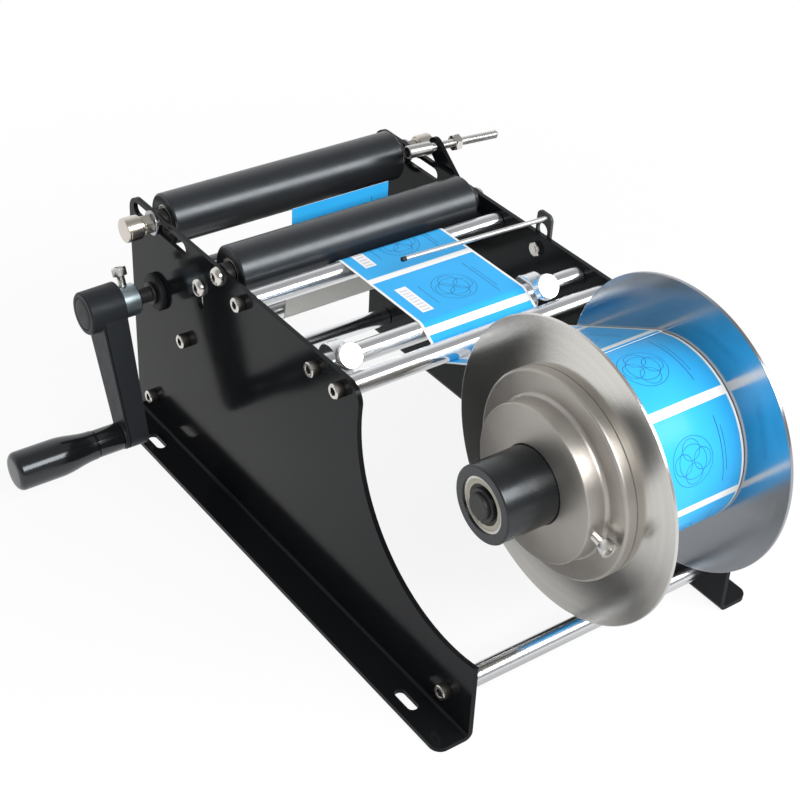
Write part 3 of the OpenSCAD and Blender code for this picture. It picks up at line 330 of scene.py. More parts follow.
def label_print():
    """Blue labels on a white liner. The UV map counts millimetres across the web and along it."""
    g = Graph("label_print")
    across, along, _ = g.parts(g.node("ShaderNodeUVMap", uv_map="label").outputs[0])
    u = g.math("SUBTRACT", across, LABEL_MARGIN)
    v = g.math("MULTIPLY", g.math("FRACT", g.math("DIVIDE", along, LABEL_PITCH)), LABEL_PITCH)

    def box(u0, u1, v0, v1):
        return g.math("MULTIPLY", g.between(u, u0, u1), g.between(v, v0, v1))

    def ring(at, r):
        away = g.length(g.math("SUBTRACT", u, at[0]), g.math("SUBTRACT", v, at[1]))
        return g.between(away, r - RING_LINE / 2, r + RING_LINE / 2)

    def any_of(masks):
        total = masks[0]
        for mask in masks[1:]:
            total = g.math("MAXIMUM", total, mask)
        return total

    label = box(0.0, WEB_WIDTH - 2 * LABEL_MARGIN, 0.0, LABEL_LENGTH)
    patch = box(*PATCH_BOX)
    wave = g.math("ADD", *[g.math("SINE", g.math("MULTIPLY", v, rate)) for rate in STRIPE_WAVES])
    stripes = g.math("MULTIPLY", g.math("GREATER_THAN", wave, STRIPE_LEVEL), box(*STRIPE_BOX))
    turns = [2 * math.pi * k / PETALS for k in range(PETALS)]
    at_u, at_v = ROSETTE_AT
    petals = [(at_u + PETAL_AWAY * math.cos(t), at_v + PETAL_AWAY * math.sin(t)) for t in turns]
    rosette = any_of([ring(ROSETTE_AT, r) for r in ROSETTE_RINGS] + [ring(at, PETAL_R) for at in petals])
    rules = any_of([box(*rule) for rule in RULE_BOXES])

    blue = g.mix(g.noise(40.0, 3.0), DARK_BLUE, LIGHT_BLUE)
    inked = g.mix(g.math("MULTIPLY", g.math("MAXIMUM", rosette, rules), 0.85), blue, INK)
    patched = g.mix(patch, inked, PATCH_WHITE)
    striped = g.mix(g.math("MULTIPLY", stripes, 0.75), patched, STRIPE_GREY)
    g.set(Base_Color=g.mix(label, LINER_WHITE, striped), Roughness=g.spread(g.noise(90.0, 4.0), 0.26, 0.38),
          Specular_IOR_Level=0.2)
    g.bump(g.math("ADD", g.math("MULTIPLY", g.noise(2400.0, 3.0), 0.15), label), 0.35, 0.06 * MM)
    return g.material


# ---------------------------------------------------------------- mesh makers

def placed(mesh, node, materials, smooth=35.0):
    """Puts a mesh in the scene in place of a CAD node, on the node's body."""
    for material in materials if isinstance(materials, (list, tuple)) else [materials]:
        mesh.materials.append(material)
    mesh.polygons.foreach_set("use_smooth", [True] * len(mesh.polygons))
    mesh.set_sharp_from_angle(angle=math.radians(smooth))
    made = bpy.data.objects.new(node + "_form", mesh)
    bpy.context.scene.collection.objects.link(made)
    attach(made, BODY_OF[node])
    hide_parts(node)
    return made


WELD = 1e-6
FLAT_ANGLE = math.radians(0.4)
SHARP_ANGLE = math.radians(32.0)
ROUND_SEGMENTS = 3


def softened(node, materials, width, kind=None, cuts=()):
    """The CAD node's own form with its sharp edges rounded off.

    kind picks a face's material from its middle, and cuts are the X of lines where the material changes.
    """
    shape = bmesh.new()
    shape.from_mesh(frame["nodes"][node].data)
    bmesh.ops.remove_doubles(shape, verts=shape.verts, dist=WELD)
    bmesh.ops.dissolve_limit(shape, angle_limit=FLAT_ANGLE, verts=shape.verts, edges=shape.edges)
    sharp = [e for e in shape.edges if e.is_manifold and e.calc_face_angle() > SHARP_ANGLE]
    bmesh.ops.bevel(shape, geom=sharp, offset=width, segments=ROUND_SEGMENTS, profile=0.5,
                    affect="EDGES", clamp_overlap=True)
    for x in cuts:
        bmesh.ops.bisect_plane(shape, geom=shape.verts[:] + shape.edges[:] + shape.faces[:],
                               plane_co=(x, 0, 0), plane_no=X_AXIS)
    bmesh.ops.recalc_face_normals(shape, faces=shape.faces)
    for face in shape.faces:
        face.material_index = kind(face.calc_center_median()) if kind else 0
    mesh = bpy.data.meshes.new(node + "_form")
    shape.to_mesh(mesh)
    shape.free()
    made = placed(mesh, node, materials)
    made.modifiers.new("weighted", "WEIGHTED_NORMAL").keep_sharp = True
    return made


def plain(angle, r):
    """Round outline."""
    return r


# One ring of a turned piece: height along its line, radius, outline and material of the band that follows it
Ring = namedtuple("Ring", "height radius outline kind", defaults=(plain, 0))


def hexagon(flats):
    """Outline with six sides, as a function of angle and radius."""
    return lambda angle, r: flats / 2 / math.cos((angle + math.pi / 6) % (math.pi / 3) - math.pi / 6)


def chamfered_hexagon(flats):
    """Six sides, cut back to the ring's radius at their corners."""
    corner = hexagon(flats)
    return lambda angle, r: min(r, corner(angle, r))


def knurl(count, depth):
    """Outline with straight grooves."""
    return lambda angle, r: r - depth * abs(2 * ((angle * count / (2 * math.pi)) % 1) - 1)


class Turning:
    """Collects closed solids of rings about any line, as vertices and faces."""

    def __init__(self, segments=96):
        self.segments = segments
        self.vertices = []
        self.faces = []
        self.kinds = []

    def band(self, a, b, kind):
        """Joins two rings, given by their first vertices."""
        n = self.segments
        self.faces += [(a + j, a + (j + 1) % n, b + (j + 1) % n, b + j) for j in range(n)]
        self.kinds += [kind] * n

    def rings(self, origin, direction, rings):
        """Lays rings along a line and joins each to the next. Returns the first vertices of the end rings."""
        d = Vector(direction).normalized()
        u = d.orthogonal().normalized() if abs(d.x) < 0.99 else Vector((0, 1, 0))
        v = d.cross(u)
        n = self.segments
        first = len(self.vertices)
        for ring in rings:
            for j in range(n):
                angle = 2 * math.pi * j / n
                reach = ring.outline(angle, ring.radius)
                out = u * math.cos(angle) + v * math.sin(angle)
                self.vertices.append(Vector(origin) + d * ring.height + out * reach)
        for i, ring in enumerate(rings[:-1]):
            self.band(first + i * n, first + (i + 1) * n, ring.kind)
        return first, len(self.vertices) - n

    def solid(self, origin, direction, rings):
        """Closes both ends with a flat face."""
        first, last = self.rings(origin, direction, rings)
        n = self.segments
        self.faces += [tuple(first + j for j in reversed(range(n))), tuple(last + j for j in range(n))]
        self.kinds += [rings[0].kind, rings[-1].kind]
        return self

    def tube(self, origin, direction, rings):
        """Joins the last ring to the first one."""
        first, last = self.rings(origin, direction, rings)
        self.band(last, first, rings[-1].kind)
        return self

    def piece(self, node, materials):
        """Puts what was collected in the scene in place of a CAD node."""
        mesh = bpy.data.meshes.new(node + "_form")
        mesh.from_pydata(self.vertices, [], self.faces)
        mesh.polygons.foreach_set("material_index", self.kinds)
        return placed(mesh, node, materials)


def thread(start, end, r, pitch, depth, steps=6):
    """Rings of a screw thread between two heights."""
    def crest(turn):
        return lambda angle, reach: reach - depth * abs(2 * ((turn + angle / (2 * math.pi)) % 1) - 1)
    count = max(2, int((end - start) / pitch * steps))
    heights = [start + (end - start) * i / count for i in range(count + 1)]
    return [Ring(h, r, crest(h / pitch)) for h in heights]


def arc(r0, h0, r1, h1, steps, bulge=1):
    """Rings of a quarter round from (r0, h0) to (r1, h1). bulge 1 leaves r first along h, -1 along r."""
    rings = []
    for i in range(steps + 1):
        s, c = math.sin(math.pi / 2 * i / steps), math.cos(math.pi / 2 * i / steps)
        along, out = (s, 1 - c) if bulge > 0 else (1 - c, s)
        rings.append(Ring(h0 + (h1 - h0) * along, r0 + (r1 - r0) * out))
    return rings


def socket_rings(top, flats, depth, rim):
    """Face of a screw head with a hexagon socket, from its rim inwards and down."""
    hexa, wide = hexagon(flats), hexagon(flats + 0.5 * MM)
    # The socket's walls and floor are kind 1; with SCREW they carry painted shade
    return [Ring(top, rim), Ring(top, flats, wide), Ring(top - 0.25 * MM, flats, hexa, 1),
            Ring(top - depth, flats, hexa, 1), Ring(top - depth - 0.5 * MM, 0.3 * flats, plain, 1)]


def cap_screw(turning, seat, outward, shank, head_r, length):
    """Socket cap screw with a knurled head: seat is the point under the head, outward the way it faces."""
    head_h = 2 * shank
    ribs = knurl(36, 0.22 * MM)
    # Bands of kind 1, under the head and round its knurled side, take the second material; with SCREW that is
    # painted shade
    rings = [Ring(-length, shank - 0.4 * MM), Ring(0.4 * MM - length, shank)]
    rings += thread(0.6 * MM - length, -0.2 * MM, shank, 0.9 * MM, 0.35 * MM)
    rings += [Ring(0.0, shank - 0.3 * MM, plain, 1), Ring(0.0, head_r - 0.3 * MM, plain, 1),
              Ring(0.3 * MM, head_r, ribs, 1), Ring(head_h - 0.9 * MM, head_r, ribs, 1),
              Ring(head_h - 0.5 * MM, head_r - 0.1 * MM), Ring(head_h, head_r - 0.6 * MM)]
    face = socket_rings(head_h, 1.68 * shank, 0.5 * head_h, head_r - 1.0 * MM)
    turning.solid(seat, outward, rings + face)


def pan_screw(turning, seat, outward, shank, head_r, head_h, length):
    """Button head screw with a hexagon socket."""
    rings = [Ring(-length, shank), Ring(0.0, shank), Ring(0.0, head_r - 0.2 * MM), Ring(0.3 * MM, head_r)]
    rings += arc(head_r, 0.3 * MM, 0.42 * head_r, head_h, 7)
    face = socket_rings(head_h, 1.27 * shank, 0.6 * head_h, 0.38 * head_r)
    turning.solid(seat, outward, rings + face)


def hex_nut(turning, start, outward, flats, height, bore):
    """Hexagon nut with chamfered corners and an open bore."""
    corner = flats / 2 / math.cos(math.pi / 6)
    side = chamfered_hexagon(flats)
    turning.tube(start, outward, [
        Ring(0.0, bore), Ring(0.0, flats / 2 - 0.1 * MM), Ring(0.5 * MM, corner, side),
        Ring(height - 0.5 * MM, corner, side), Ring(height, flats / 2 - 0.1 * MM), Ring(height, bore)])


# ---------------------------------------------------------------- materials of the machine

reel_line = line("reel_sleeve")
front_line = line("front_roller")
rear_line = line("rear_roller")

BLACK_PAINT = painted("black_paint", (0.0070, 0.0075, 0.0085), 0.13, peel=0.04, shine=0.11)
ROLLER_BLACK = painted("roller_black", (0.0095, 0.0105, 0.0125), 0.31, peel=0.14, shine=0.8)
SLEEVE_BLACK = painted("sleeve_black", (0.0060, 0.0066, 0.0074), 0.25, peel=0.14, shine=0.65)
CHROME = turned_metal("chrome", (0.84, 0.855, 0.875), 0.19, lines=0.05, along=4200.0, cloudy=0.03)
STAINLESS = turned_metal("stainless", (0.67, 0.665, 0.65), 0.30, lines=0.10)
DRAWN_STEEL = turned_metal("drawn_steel", (0.66, 0.66, 0.655), 0.44, lines=0.10)
BRIGHT_SCREW = turned_metal("bright_screw", (0.70, 0.68, 0.64), 0.16, lines=0.08)
# Dark steel for the knurled sides, undersides and sockets of screw heads and the stop sleeve's bore: painted
# shade, not the steel's own colour
PAINTED_SHADE_STEEL = turned_metal("painted_shade_steel", (0.22, 0.21, 0.19), 0.36, lines=0.10)
NICKEL = turned_metal("nickel", (0.67, 0.625, 0.565), 0.24, lines=0.10)
ZINC = turned_metal("zinc", (0.50, 0.60, 0.65), 0.32, lines=0.14)
AXLE_STEEL = turned_metal("axle_steel", (0.45, 0.46, 0.48), 0.30)
BLACK_OXIDE = turned_metal("black_oxide", (0.020, 0.020, 0.022), 0.42, along=4200.0, cloudy=0.15,
                           metallic=0.0)
LEVER_GREY = painted("lever_grey", (0.050, 0.051, 0.053), 0.55, peel=0.20)
TIP_BLACK = painted("tip_black", (0.012, 0.012, 0.013), 0.5, peel=0.15)
CRANK_BLACK = painted("crank_black", (0.0185, 0.0205, 0.0235), 0.42, peel=0.30, shine=0.2)
GRIP_BLACK = painted("grip_black", (0.0080, 0.0085, 0.0092), 0.16, peel=0.05, shine=0.7)
BUSH_BLACK = painted("bush_black", (0.0085, 0.0085, 0.0090), 0.55, peel=0.20, shine=0.3)
CAST_GREY = blasted("cast_grey", (0.43, 0.405, 0.375), 0.38)
DISC_STEEL = brushed_disc("disc_steel", (0.70, 0.685, 0.65), 0.21, reel_line, stretch=0.5)
POLISHED_DISC = brushed_disc("polished_disc", (0.40, 0.42, 0.45), 0.17, reel_line, stretch=0.35)
LINER = paper("liner", (0.86, 0.85, 0.81))
CARDBOARD = paper("cardboard", (0.42, 0.29, 0.17), 0.8)
LABEL = label_print()
ROLL_SIDE = roll_side(reel_line)
# The second material of SCREW is painted shade
SCREW = [BRIGHT_SCREW, PAINTED_SHADE_STEEL]


# ---------------------------------------------------------------- plates, rods and rollers

ROD_NODES = ("web_rod", "liner_rod", "guide_rod", "rear_tie_rod", "entry_rod", "front_tie_rod")
WASHER_T = 1.6 * MM
BRACKET_T = 3.0 * MM
LEFT_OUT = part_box("rear_axle_washers")[0].x + WASHER_T
RIGHT_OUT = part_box("rear_axle_washers")[1].x - WASHER_T
SCREW_HEAD_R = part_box("tie_rod_screws")[1].z - line("web_rod")[1]
SCREW_R = (LEFT_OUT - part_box("tie_rod_screws")[0].x) / 2


def plates_and_rods():
    for node in ("left_side_plate", "right_side_plate"):
        softened(node, BLACK_PAINT, 0.5 * MM)
    for node in ROD_NODES:
        softened(node, CHROME, 0.15 * MM)
    softened("peel_plate", STAINLESS, 0.25 * MM)


def rollers():
    for node in ("front_roller", "rear_roller", "takeup_mandrel"):
        softened(node, ROLLER_BLACK, 0.3 * MM)
    for node in ("front_axle", "rear_axle"):
        softened(node, AXLE_STEEL, 0.12 * MM)
    # The spacers are given black oxide as painted shade: they look dark from the shade they sit in
    for node in ("front_axle_spacers", "rear_axle_spacers"):
        softened(node, BLACK_OXIDE, 0.12 * MM)
    bearing_bore = 5.0 * MM
    for node, axis in (("front_roller_bearings", front_line), ("rear_roller_bearings", rear_line)):
        softened(node, bearing_finish(node + "_finish", axis, bearing_bore, radius(node)), 0.1 * MM)
    softened("rear_axle_washers", AXLE_STEEL, 0.15 * MM)


def tie_rod_screws():
    """Cap screws at both ends of the six rods."""
    length = 15 * MM
    screws = Turning(72)
    for node in ROD_NODES:
        for x, side in ((LEFT_OUT, -X_AXIS), (RIGHT_OUT, X_AXIS)):
            cap_screw(screws, on_line(x, line(node)), side, SCREW_R, SCREW_HEAD_R, length)
    screws.piece("tie_rod_screws", SCREW)


def pan_head_screws():
    """Screws of the front axle and of the peel plate, whose right one also holds the stop's bracket."""
    pan = Turning(72)
    head_r, head_h, shank, length = 6.0 * MM, 3.6 * MM, 3.0 * MM, 13 * MM
    for axis, right_x in ((line("front_axle"), RIGHT_OUT),
                          (line("peel_plate_nuts"), RIGHT_OUT + BRACKET_T)):
        for x, side in ((LEFT_OUT, -X_AXIS), (right_x, X_AXIS)):
            pan_screw(pan, on_line(x, axis), side, shank, head_r, head_h, length)
    pan.piece("pan_head_screws", SCREW)


def nut_pair(node, height, bore, material):
    """Two equal nuts on one line, at both ends of the node's box."""
    low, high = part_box(node)
    nuts = Turning(72)
    for x in (low.x, high.x - height):
        hex_nut(nuts, on_line(x, line(node)), X_AXIS, high.y - low.y, height, bore)
    nuts.piece(node, material)


def axle_knob(node, side):
    """Round knob with a fillet to its neck and a line turned near its face."""
    low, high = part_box(node)
    length, r = high.x - low.x, radius(node)
    neck_r = r - 1.4 * MM
    groove = length - 1.9 * MM
    rings = [Ring(0.0, 0.62 * r), Ring(0.0, neck_r - 0.5 * MM),
             Ring(0.5 * MM, neck_r), Ring(1.2 * MM, neck_r)]
    rings += arc(r - 1.0 * MM, 1.4 * MM, r, 2.6 * MM, 4, -1)
    rings += [Ring(groove - 0.3 * MM, r), Ring(groove, r - 0.35 * MM), Ring(groove + 0.3 * MM, r)]
    rings += arc(r, length - 0.9 * MM, r - 0.9 * MM, length, 4)
    rings += [Ring(length, 0.3 * r), Ring(length - 0.1 * MM, 0.1 * r)]
    foot = on_line(high.x if side < 0 else low.x, line(node))
    Turning(96).solid(foot, X_AXIS * side, rings).piece(node, NICKEL)


# ---------------------------------------------------------------- crank

def crank():
    softened("crank_arm", CRANK_BLACK, 0.3 * MM)
    softened("crank_hub_cap", CRANK_BLACK, 0.25 * MM)
    softened("crank_boss", ZINC, 0.25 * MM)
    softened("crank_bushes", BUSH_BLACK, 0.4 * MM)
    softened("shaft_snap_rings", BLACK_OXIDE, 0.15 * MM)
    softened("crank_shaft", BLACK_OXIDE, 0.12 * MM)
    softened("grip_pin", AXLE_STEEL, 0.12 * MM)


def set_screw():
    """Screw that clamps the boss on the shaft; it leans to the rear and stands off the boss."""
    lean = math.radians(25.0)
    outward = Vector((0, math.sin(lean), math.cos(lean)))
    seat = radius("crank_boss") + 6.0 * MM
    screw = Turning(72)
    foot = on_line(middle("crank_set_screw").x, line("crank_shaft"))
    length = seat - radius("crank_shaft") - 0.2 * MM
    cap_screw(screw, foot + outward * seat, outward, SCREW_R, SCREW_HEAD_R, length)
    screw.piece("crank_set_screw", [BRIGHT_SCREW, STAINLESS])


def handle_grip():
    """Straight neck, a step, and a body that swells to a rounded end."""
    low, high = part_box("handle_grip")
    length, end_r = high.x - low.x, radius("handle_grip")
    neck_r, bore = 9.0 * MM, 4.05 * MM
    body_r = neck_r + 0.4 * MM
    neck, swell, nose = 0.25 * length, 0.36 * length, 4.0 * MM
    steps = 24
    rings = [Ring(0.0, bore), Ring(0.0, neck_r - 0.8 * MM)]
    rings += arc(neck_r - 0.8 * MM, 0.0, neck_r, 0.8 * MM, 3, -1)
    rings += [Ring(neck - 0.9 * MM, neck_r), Ring(neck - 0.5 * MM, neck_r - 0.6 * MM),
              Ring(neck - 0.2 * MM, neck_r - 0.6 * MM)]
    rings += arc(body_r - 0.6 * MM, neck - 0.1 * MM, body_r, neck + 0.5 * MM, 3, -1)
    for i in range(1, steps + 1):
        height = neck + 0.5 * MM + (swell - 0.5 * MM) * i / steps
        swollen = (1 - math.cos(math.pi * i / steps)) / 2
        rings.append(Ring(height, body_r + (end_r - body_r) * swollen))
    rings += arc(end_r, length - nose, end_r - nose, length, 8) + [Ring(length, 0.3 * end_r)]
    foot = on_line(high.x, line("handle_grip"))
    Turning(128).solid(foot, -X_AXIS, rings).piece("handle_grip", GRIP_BLACK)


# ---------------------------------------------------------------- reel

def reel():
    softened("reel_sleeve", SLEEVE_BLACK, 0.4 * MM)
    softened("spindle_shaft", BLACK_OXIDE, 0.3 * MM)
    softened("spindle_circlip", BLACK_OXIDE, 0.12 * MM)
    softened("outer_disc", DISC_STEEL, 0.2 * MM)
    softened("inner_disc", POLISHED_DISC, 0.2 * MM)
    bearing_bore = 7.5 * MM
    finish = bearing_finish("reel_bearing_finish", reel_line, bearing_bore, radius("reel_bearings"))
    softened("reel_bearings", finish, 0.15 * MM)


def spindle_nut():
    """Hexagon nut and washer on the spindle's stud."""
    low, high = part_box("spindle_nut")
    washer_t, washer_r, bore, flats = 2.0 * MM, 12.0 * MM, 6.03 * MM, 18.6 * MM
    nut = Turning(72)
    nut.tube(on_line(low.x, reel_line), X_AXIS, [
        Ring(0.0, bore), Ring(0.0, washer_r - 0.3 * MM), Ring(0.3 * MM, washer_r),
        Ring(washer_t - 0.3 * MM, washer_r), Ring(washer_t, washer_r - 0.3 * MM), Ring(washer_t, bore)])
    hex_nut(nut, on_line(low.x + washer_t, reel_line), X_AXIS, flats, high.x - low.x - washer_t, bore)
    nut.piece("spindle_nut", STAINLESS)


def collar(node, side):
    """Two-step collar with a hollow fillet between its steps, from the disc's face outwards."""
    low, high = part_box(node)
    depth, flange_r, hub_r, flange_t = high.x - low.x, radius(node), 44.5 * MM, 7.0 * MM
    bore = radius("reel_sleeve") + 0.05 * MM
    fillet = 2.5 * MM
    rings = [Ring(0.0, bore), Ring(0.0, flange_r - 0.4 * MM), Ring(0.4 * MM, flange_r)]
    rings += arc(flange_r, flange_t - 1.8 * MM, flange_r - 1.8 * MM, flange_t, 6)
    rings += [Ring(flange_t + fillet - fillet * math.cos(t), hub_r + fillet - fillet * math.sin(t))
              for t in [math.pi / 12 * i for i in range(7)]]
    rings += arc(hub_r, depth - 0.9 * MM, hub_r - 0.9 * MM, depth, 4)
    rings += [Ring(depth, bore + 0.6 * MM), Ring(depth - 0.6 * MM, bore)]
    face = high.x if side < 0 else low.x
    Turning(160).tube(on_line(face, reel_line), X_AXIS * side, rings).piece(node, CAST_GREY)


def clamp_bolt(node):
    """Cap screw that clamps a collar on the sleeve. It points to the front and a little down."""
    angle = math.radians(188.0)
    head_seat, shank, head_r, length = 51.5 * MM, 2.75 * MM, 4.67 * MM, 29.0 * MM
    outward = Vector((0, math.cos(angle), math.sin(angle)))
    bolt = Turning(72)
    seat = on_line(middle(node).x, reel_line) + outward * head_seat
    cap_screw(bolt, seat, outward, shank, head_r, length)
    bolt.piece(node, [BRIGHT_SCREW, STAINLESS])


# ---------------------------------------------------------------- edge guides, bottle stop and finger

def edge_guide(side):
    """Collar on the guide rod and its knurled thumb screw."""
    softened(side + "_guide_collar", CHROME, 0.3 * MM)
    node = side + "_thumb_screw"
    head = radius(side + "_guide_collar") + 0.4 * MM
    rod_r, screw_r, r, thick = radius("guide_rod"), 2.5 * MM, 7.75 * MM, 7.0 * MM
    ribs = knurl(48, 0.35 * MM)
    rings = [Ring(rod_r + 0.3 * MM, screw_r - 0.3 * MM), Ring(rod_r + 0.6 * MM, screw_r), Ring(head, screw_r),
             Ring(head, r - 3 * MM), Ring(head + 1.2 * MM, r - 3 * MM), Ring(head + 1.2 * MM, r - 0.6 * MM),
             Ring(head + 1.7 * MM, r, ribs), Ring(head + thick - 0.8 * MM, r, ribs),
             Ring(head + thick - 0.4 * MM, r - 0.25 * MM), Ring(head + thick, r - 0.7 * MM),
             Ring(head + thick, 0.4 * r)]
    foot = on_line(middle(node).x, line("guide_rod"))
    Turning(192).solid(foot, way(side + "_thumb_turn"), rings).piece(node, CHROME)


def bottle_stop():
    """Threaded rod with a sleeve, which droops a little from its hole in the bracket to the outside."""
    softened("stop_bracket", BLACK_PAINT, 0.4 * MM)
    outward = way("stop_bolt_slide")
    bracket_head_r = 6.496 * MM
    hole = Vector((RIGHT_OUT, middle("stop_bolt").y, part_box("stop_bracket")[1].z - bracket_head_r))
    sleeve_r, rod_r, bore_r = 4.3 * MM, 2.8 * MM, 3.2 * MM
    sleeve_from, sleeve_to, rod_to = -22.4 * MM, -3.6 * MM, 52.4 * MM
    # The first two bands and the end face, inside the sleeve's bore, are kind 1 and take painted shade
    rings = [Ring(sleeve_from + 5.0 * MM, 0.2 * MM, plain, 1),
             Ring(sleeve_from + 4.6 * MM, bore_r - 0.3 * MM, plain, 1), Ring(sleeve_from, bore_r),
             Ring(sleeve_from, sleeve_r - 0.5 * MM), Ring(sleeve_from + 0.5 * MM, sleeve_r),
             Ring(sleeve_to - 0.5 * MM, sleeve_r), Ring(sleeve_to, sleeve_r - 0.5 * MM),
             Ring(sleeve_to, rod_r)]
    rings += thread(sleeve_to + 0.4 * MM, rod_to - 0.6 * MM, rod_r, 0.9 * MM, 0.4 * MM)
    rings += [Ring(rod_to, rod_r - 0.6 * MM)]
    Turning(72).solid(hole, outward, rings).piece("stop_bolt", [STAINLESS, PAINTED_SHADE_STEEL])
    nut_from, nut_h, nut_flats = 15.0 * MM, 5.04 * MM, 10.08 * MM
    nut = Turning(72)
    hex_nut(nut, hole + outward * nut_from, outward, nut_flats, nut_h, rod_r + 0.03 * MM)
    nut.piece("stop_nut", BRIGHT_SCREW)


def finger():
    """Dark lever with a bright rod that ends in a dark tip, and the bolt that it swings on."""
    tip_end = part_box("finger_lever")[0].x + 3.0 * MM

    def kind(centre):
        return 0 if centre.x > RIGHT_OUT else 1 if centre.x > tip_end else 2
    softened("finger_lever", [LEVER_GREY, DRAWN_STEEL, TIP_BLACK], 0.25 * MM, kind, (tip_end, RIGHT_OUT))
    low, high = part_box("finger_pivot")
    head_h, nut_h, bolt_end = 2 * SCREW_R, 2.6 * MM, 0.5 * MM
    pivot = Turning(72)
    axis = line("finger_pivot")
    cap_screw(pivot, on_line(high.x - head_h, axis), X_AXIS, SCREW_R, SCREW_HEAD_R, high.x - head_h - low.x)
    hex_nut(pivot, on_line(low.x + bolt_end, axis), X_AXIS, 3.2 * SCREW_R, nut_h, SCREW_R + 0.03 * MM)
    pivot.piece("finger_pivot", SCREW)


# ---------------------------------------------------------------- labels and liner

WEB_T = 0.3 * MM
TOUCH_GAP = 0.1 * MM
TURN_GAP = 0.3 * MM
PEEL_R = 1.0 * MM
PEEL_TURN = math.radians(-30.0)
LEAD_IN = math.radians(8.0)
ARC_STEPS = 16
PAPER_SMOOTH = 60.0
# millimetres that the print is shifted by along the web and round the roll, so that the gaps between
# its labels fall where the photograph has them
WEB_START = 49.9
ROLL_START = 57.0


def stop_at(node, side, gap):
    """A place that the web passes: centre, radius of the web's middle, and 1 for over or -1 for under."""
    return line(node), radius(node) + gap + WEB_T / 2, side


def heading(a, b):
    """Direction of the straight stretch between two stops."""
    d = b[0] - a[0]
    return math.atan2(d.y, d.x) - math.asin((a[2] * a[1] - b[2] * b[1]) / d.length)


def route(stops, first, last):
    """Points of the web's middle with their upward normals, along the stops."""
    path = []
    for i, (centre, r, side) in enumerate(stops):
        h0 = first if i == 0 else heading(stops[i - 1], stops[i])
        h1 = last if i == len(stops) - 1 else heading(stops[i], stops[i + 1])
        for k in range(ARC_STEPS + 1):
            h = h0 + (h1 - h0) * k / ARC_STEPS
            normal = Vector((-math.sin(h), math.cos(h)))
            path.append((centre + normal * (side * r), normal))
    return path


def strip(node, materials, path, start, uv_left):
    """Thin sheet along a path. The print is on its upper side, with millimetres in the UV map."""
    x0, x1 = span(node)
    vertices, faces = [], []
    run = [0.0]
    for (p, _), (q, _) in zip(path, path[1:]):
        run.append(run[-1] + (q - p).length)
    for point, normal in path:
        for side in (1, -1):
            spot = point + normal * (side * WEB_T / 2)
            vertices += [(x0, spot.x, spot.y), (x1, spot.x, spot.y)]
    for i in range(len(path) - 1):
        a, b = 4 * i, 4 * i + 4
        faces += [(a, a + 1, b + 1, b), (a + 2, b + 2, b + 3, a + 3),
                  (a, b, b + 2, a + 2), (a + 1, a + 3, b + 3, b + 1)]
    end = 4 * (len(path) - 1)
    faces += [(0, 2, 3, 1), (end, end + 1, end + 3, end + 2)]
    mesh = bpy.data.meshes.new(node + "_form")
    mesh.from_pydata(vertices, [], faces)
    layer = mesh.uv_layers.new(name="label")
    for face in mesh.polygons:
        face.material_index = 0 if face.index % 4 == 0 and face.index < end else 1
        for loop in face.loop_indices:
            vertex = mesh.loops[loop].vertex_index
            layer.data[loop].uv = (uv_left + (vertices[vertex][0] - x0) / MM, start + run[vertex // 4] / MM)
    placed(mesh, node, materials, PAPER_SMOOTH)


def web_and_liner():
    """The web from the roll to the peel plate and the empty liner from there to the take-up."""
    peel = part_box("peel_plate")[1]
    roll_stop = stop_at("label_roll", 1, TURN_GAP)
    entry_stop = stop_at("entry_rod", -1, TOUCH_GAP)
    peel_stop = (Vector((peel.y - PEEL_R, peel.z - PEEL_R)), PEEL_R + TOUCH_GAP + WEB_T / 2, 1)
    liner_stop = stop_at("liner_rod", -1, TOUCH_GAP)
    wound_stop = stop_at("wound_liner", -1, TURN_GAP)
    leave = heading(roll_stop, entry_stop)
    feed = route([roll_stop, entry_stop, stop_at("guide_rod", 1, TOUCH_GAP), stop_at("web_rod", 1, TOUCH_GAP),
                  stop_at("front_roller", -1, TURN_GAP), peel_stop], leave + LEAD_IN, PEEL_TURN)
    strip("label_web", [LABEL, LINER], feed, WEB_START, 0.0)
    back = route([peel_stop, liner_stop, wound_stop], PEEL_TURN, heading(liner_stop, wound_stop) + LEAD_IN)
    strip("return_liner", [LINER, LINER], back, 0.0, 0.0)
    label_roll(leave + math.pi / 2)
    softened("label_core", CARDBOARD, 0.1 * MM)
    softened("wound_liner", LINER, 0.08 * MM)


def leading_label():
    """The label that the peel plate has just lifted, curled up behind it."""
    low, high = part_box("leading_label")
    curl = 2.5 * MM
    bend = Vector((high.y - curl - WEB_T / 2, low.z + curl + WEB_T / 2))
    path = []
    for k in range(10):
        t = math.radians(10.0 * k)
        out = Vector((math.sin(t), -math.cos(t)))
        path.append((bend + out * curl, -out))
    path.append((Vector((high.y - WEB_T / 2, high.z)), Vector((-1.0, 0.0))))
    run = sum((q[0] - p[0]).length for p, q in zip(path, path[1:])) / MM
    strip("leading_label", [LABEL, LINER], path, LABEL_LENGTH - run, LABEL_MARGIN)


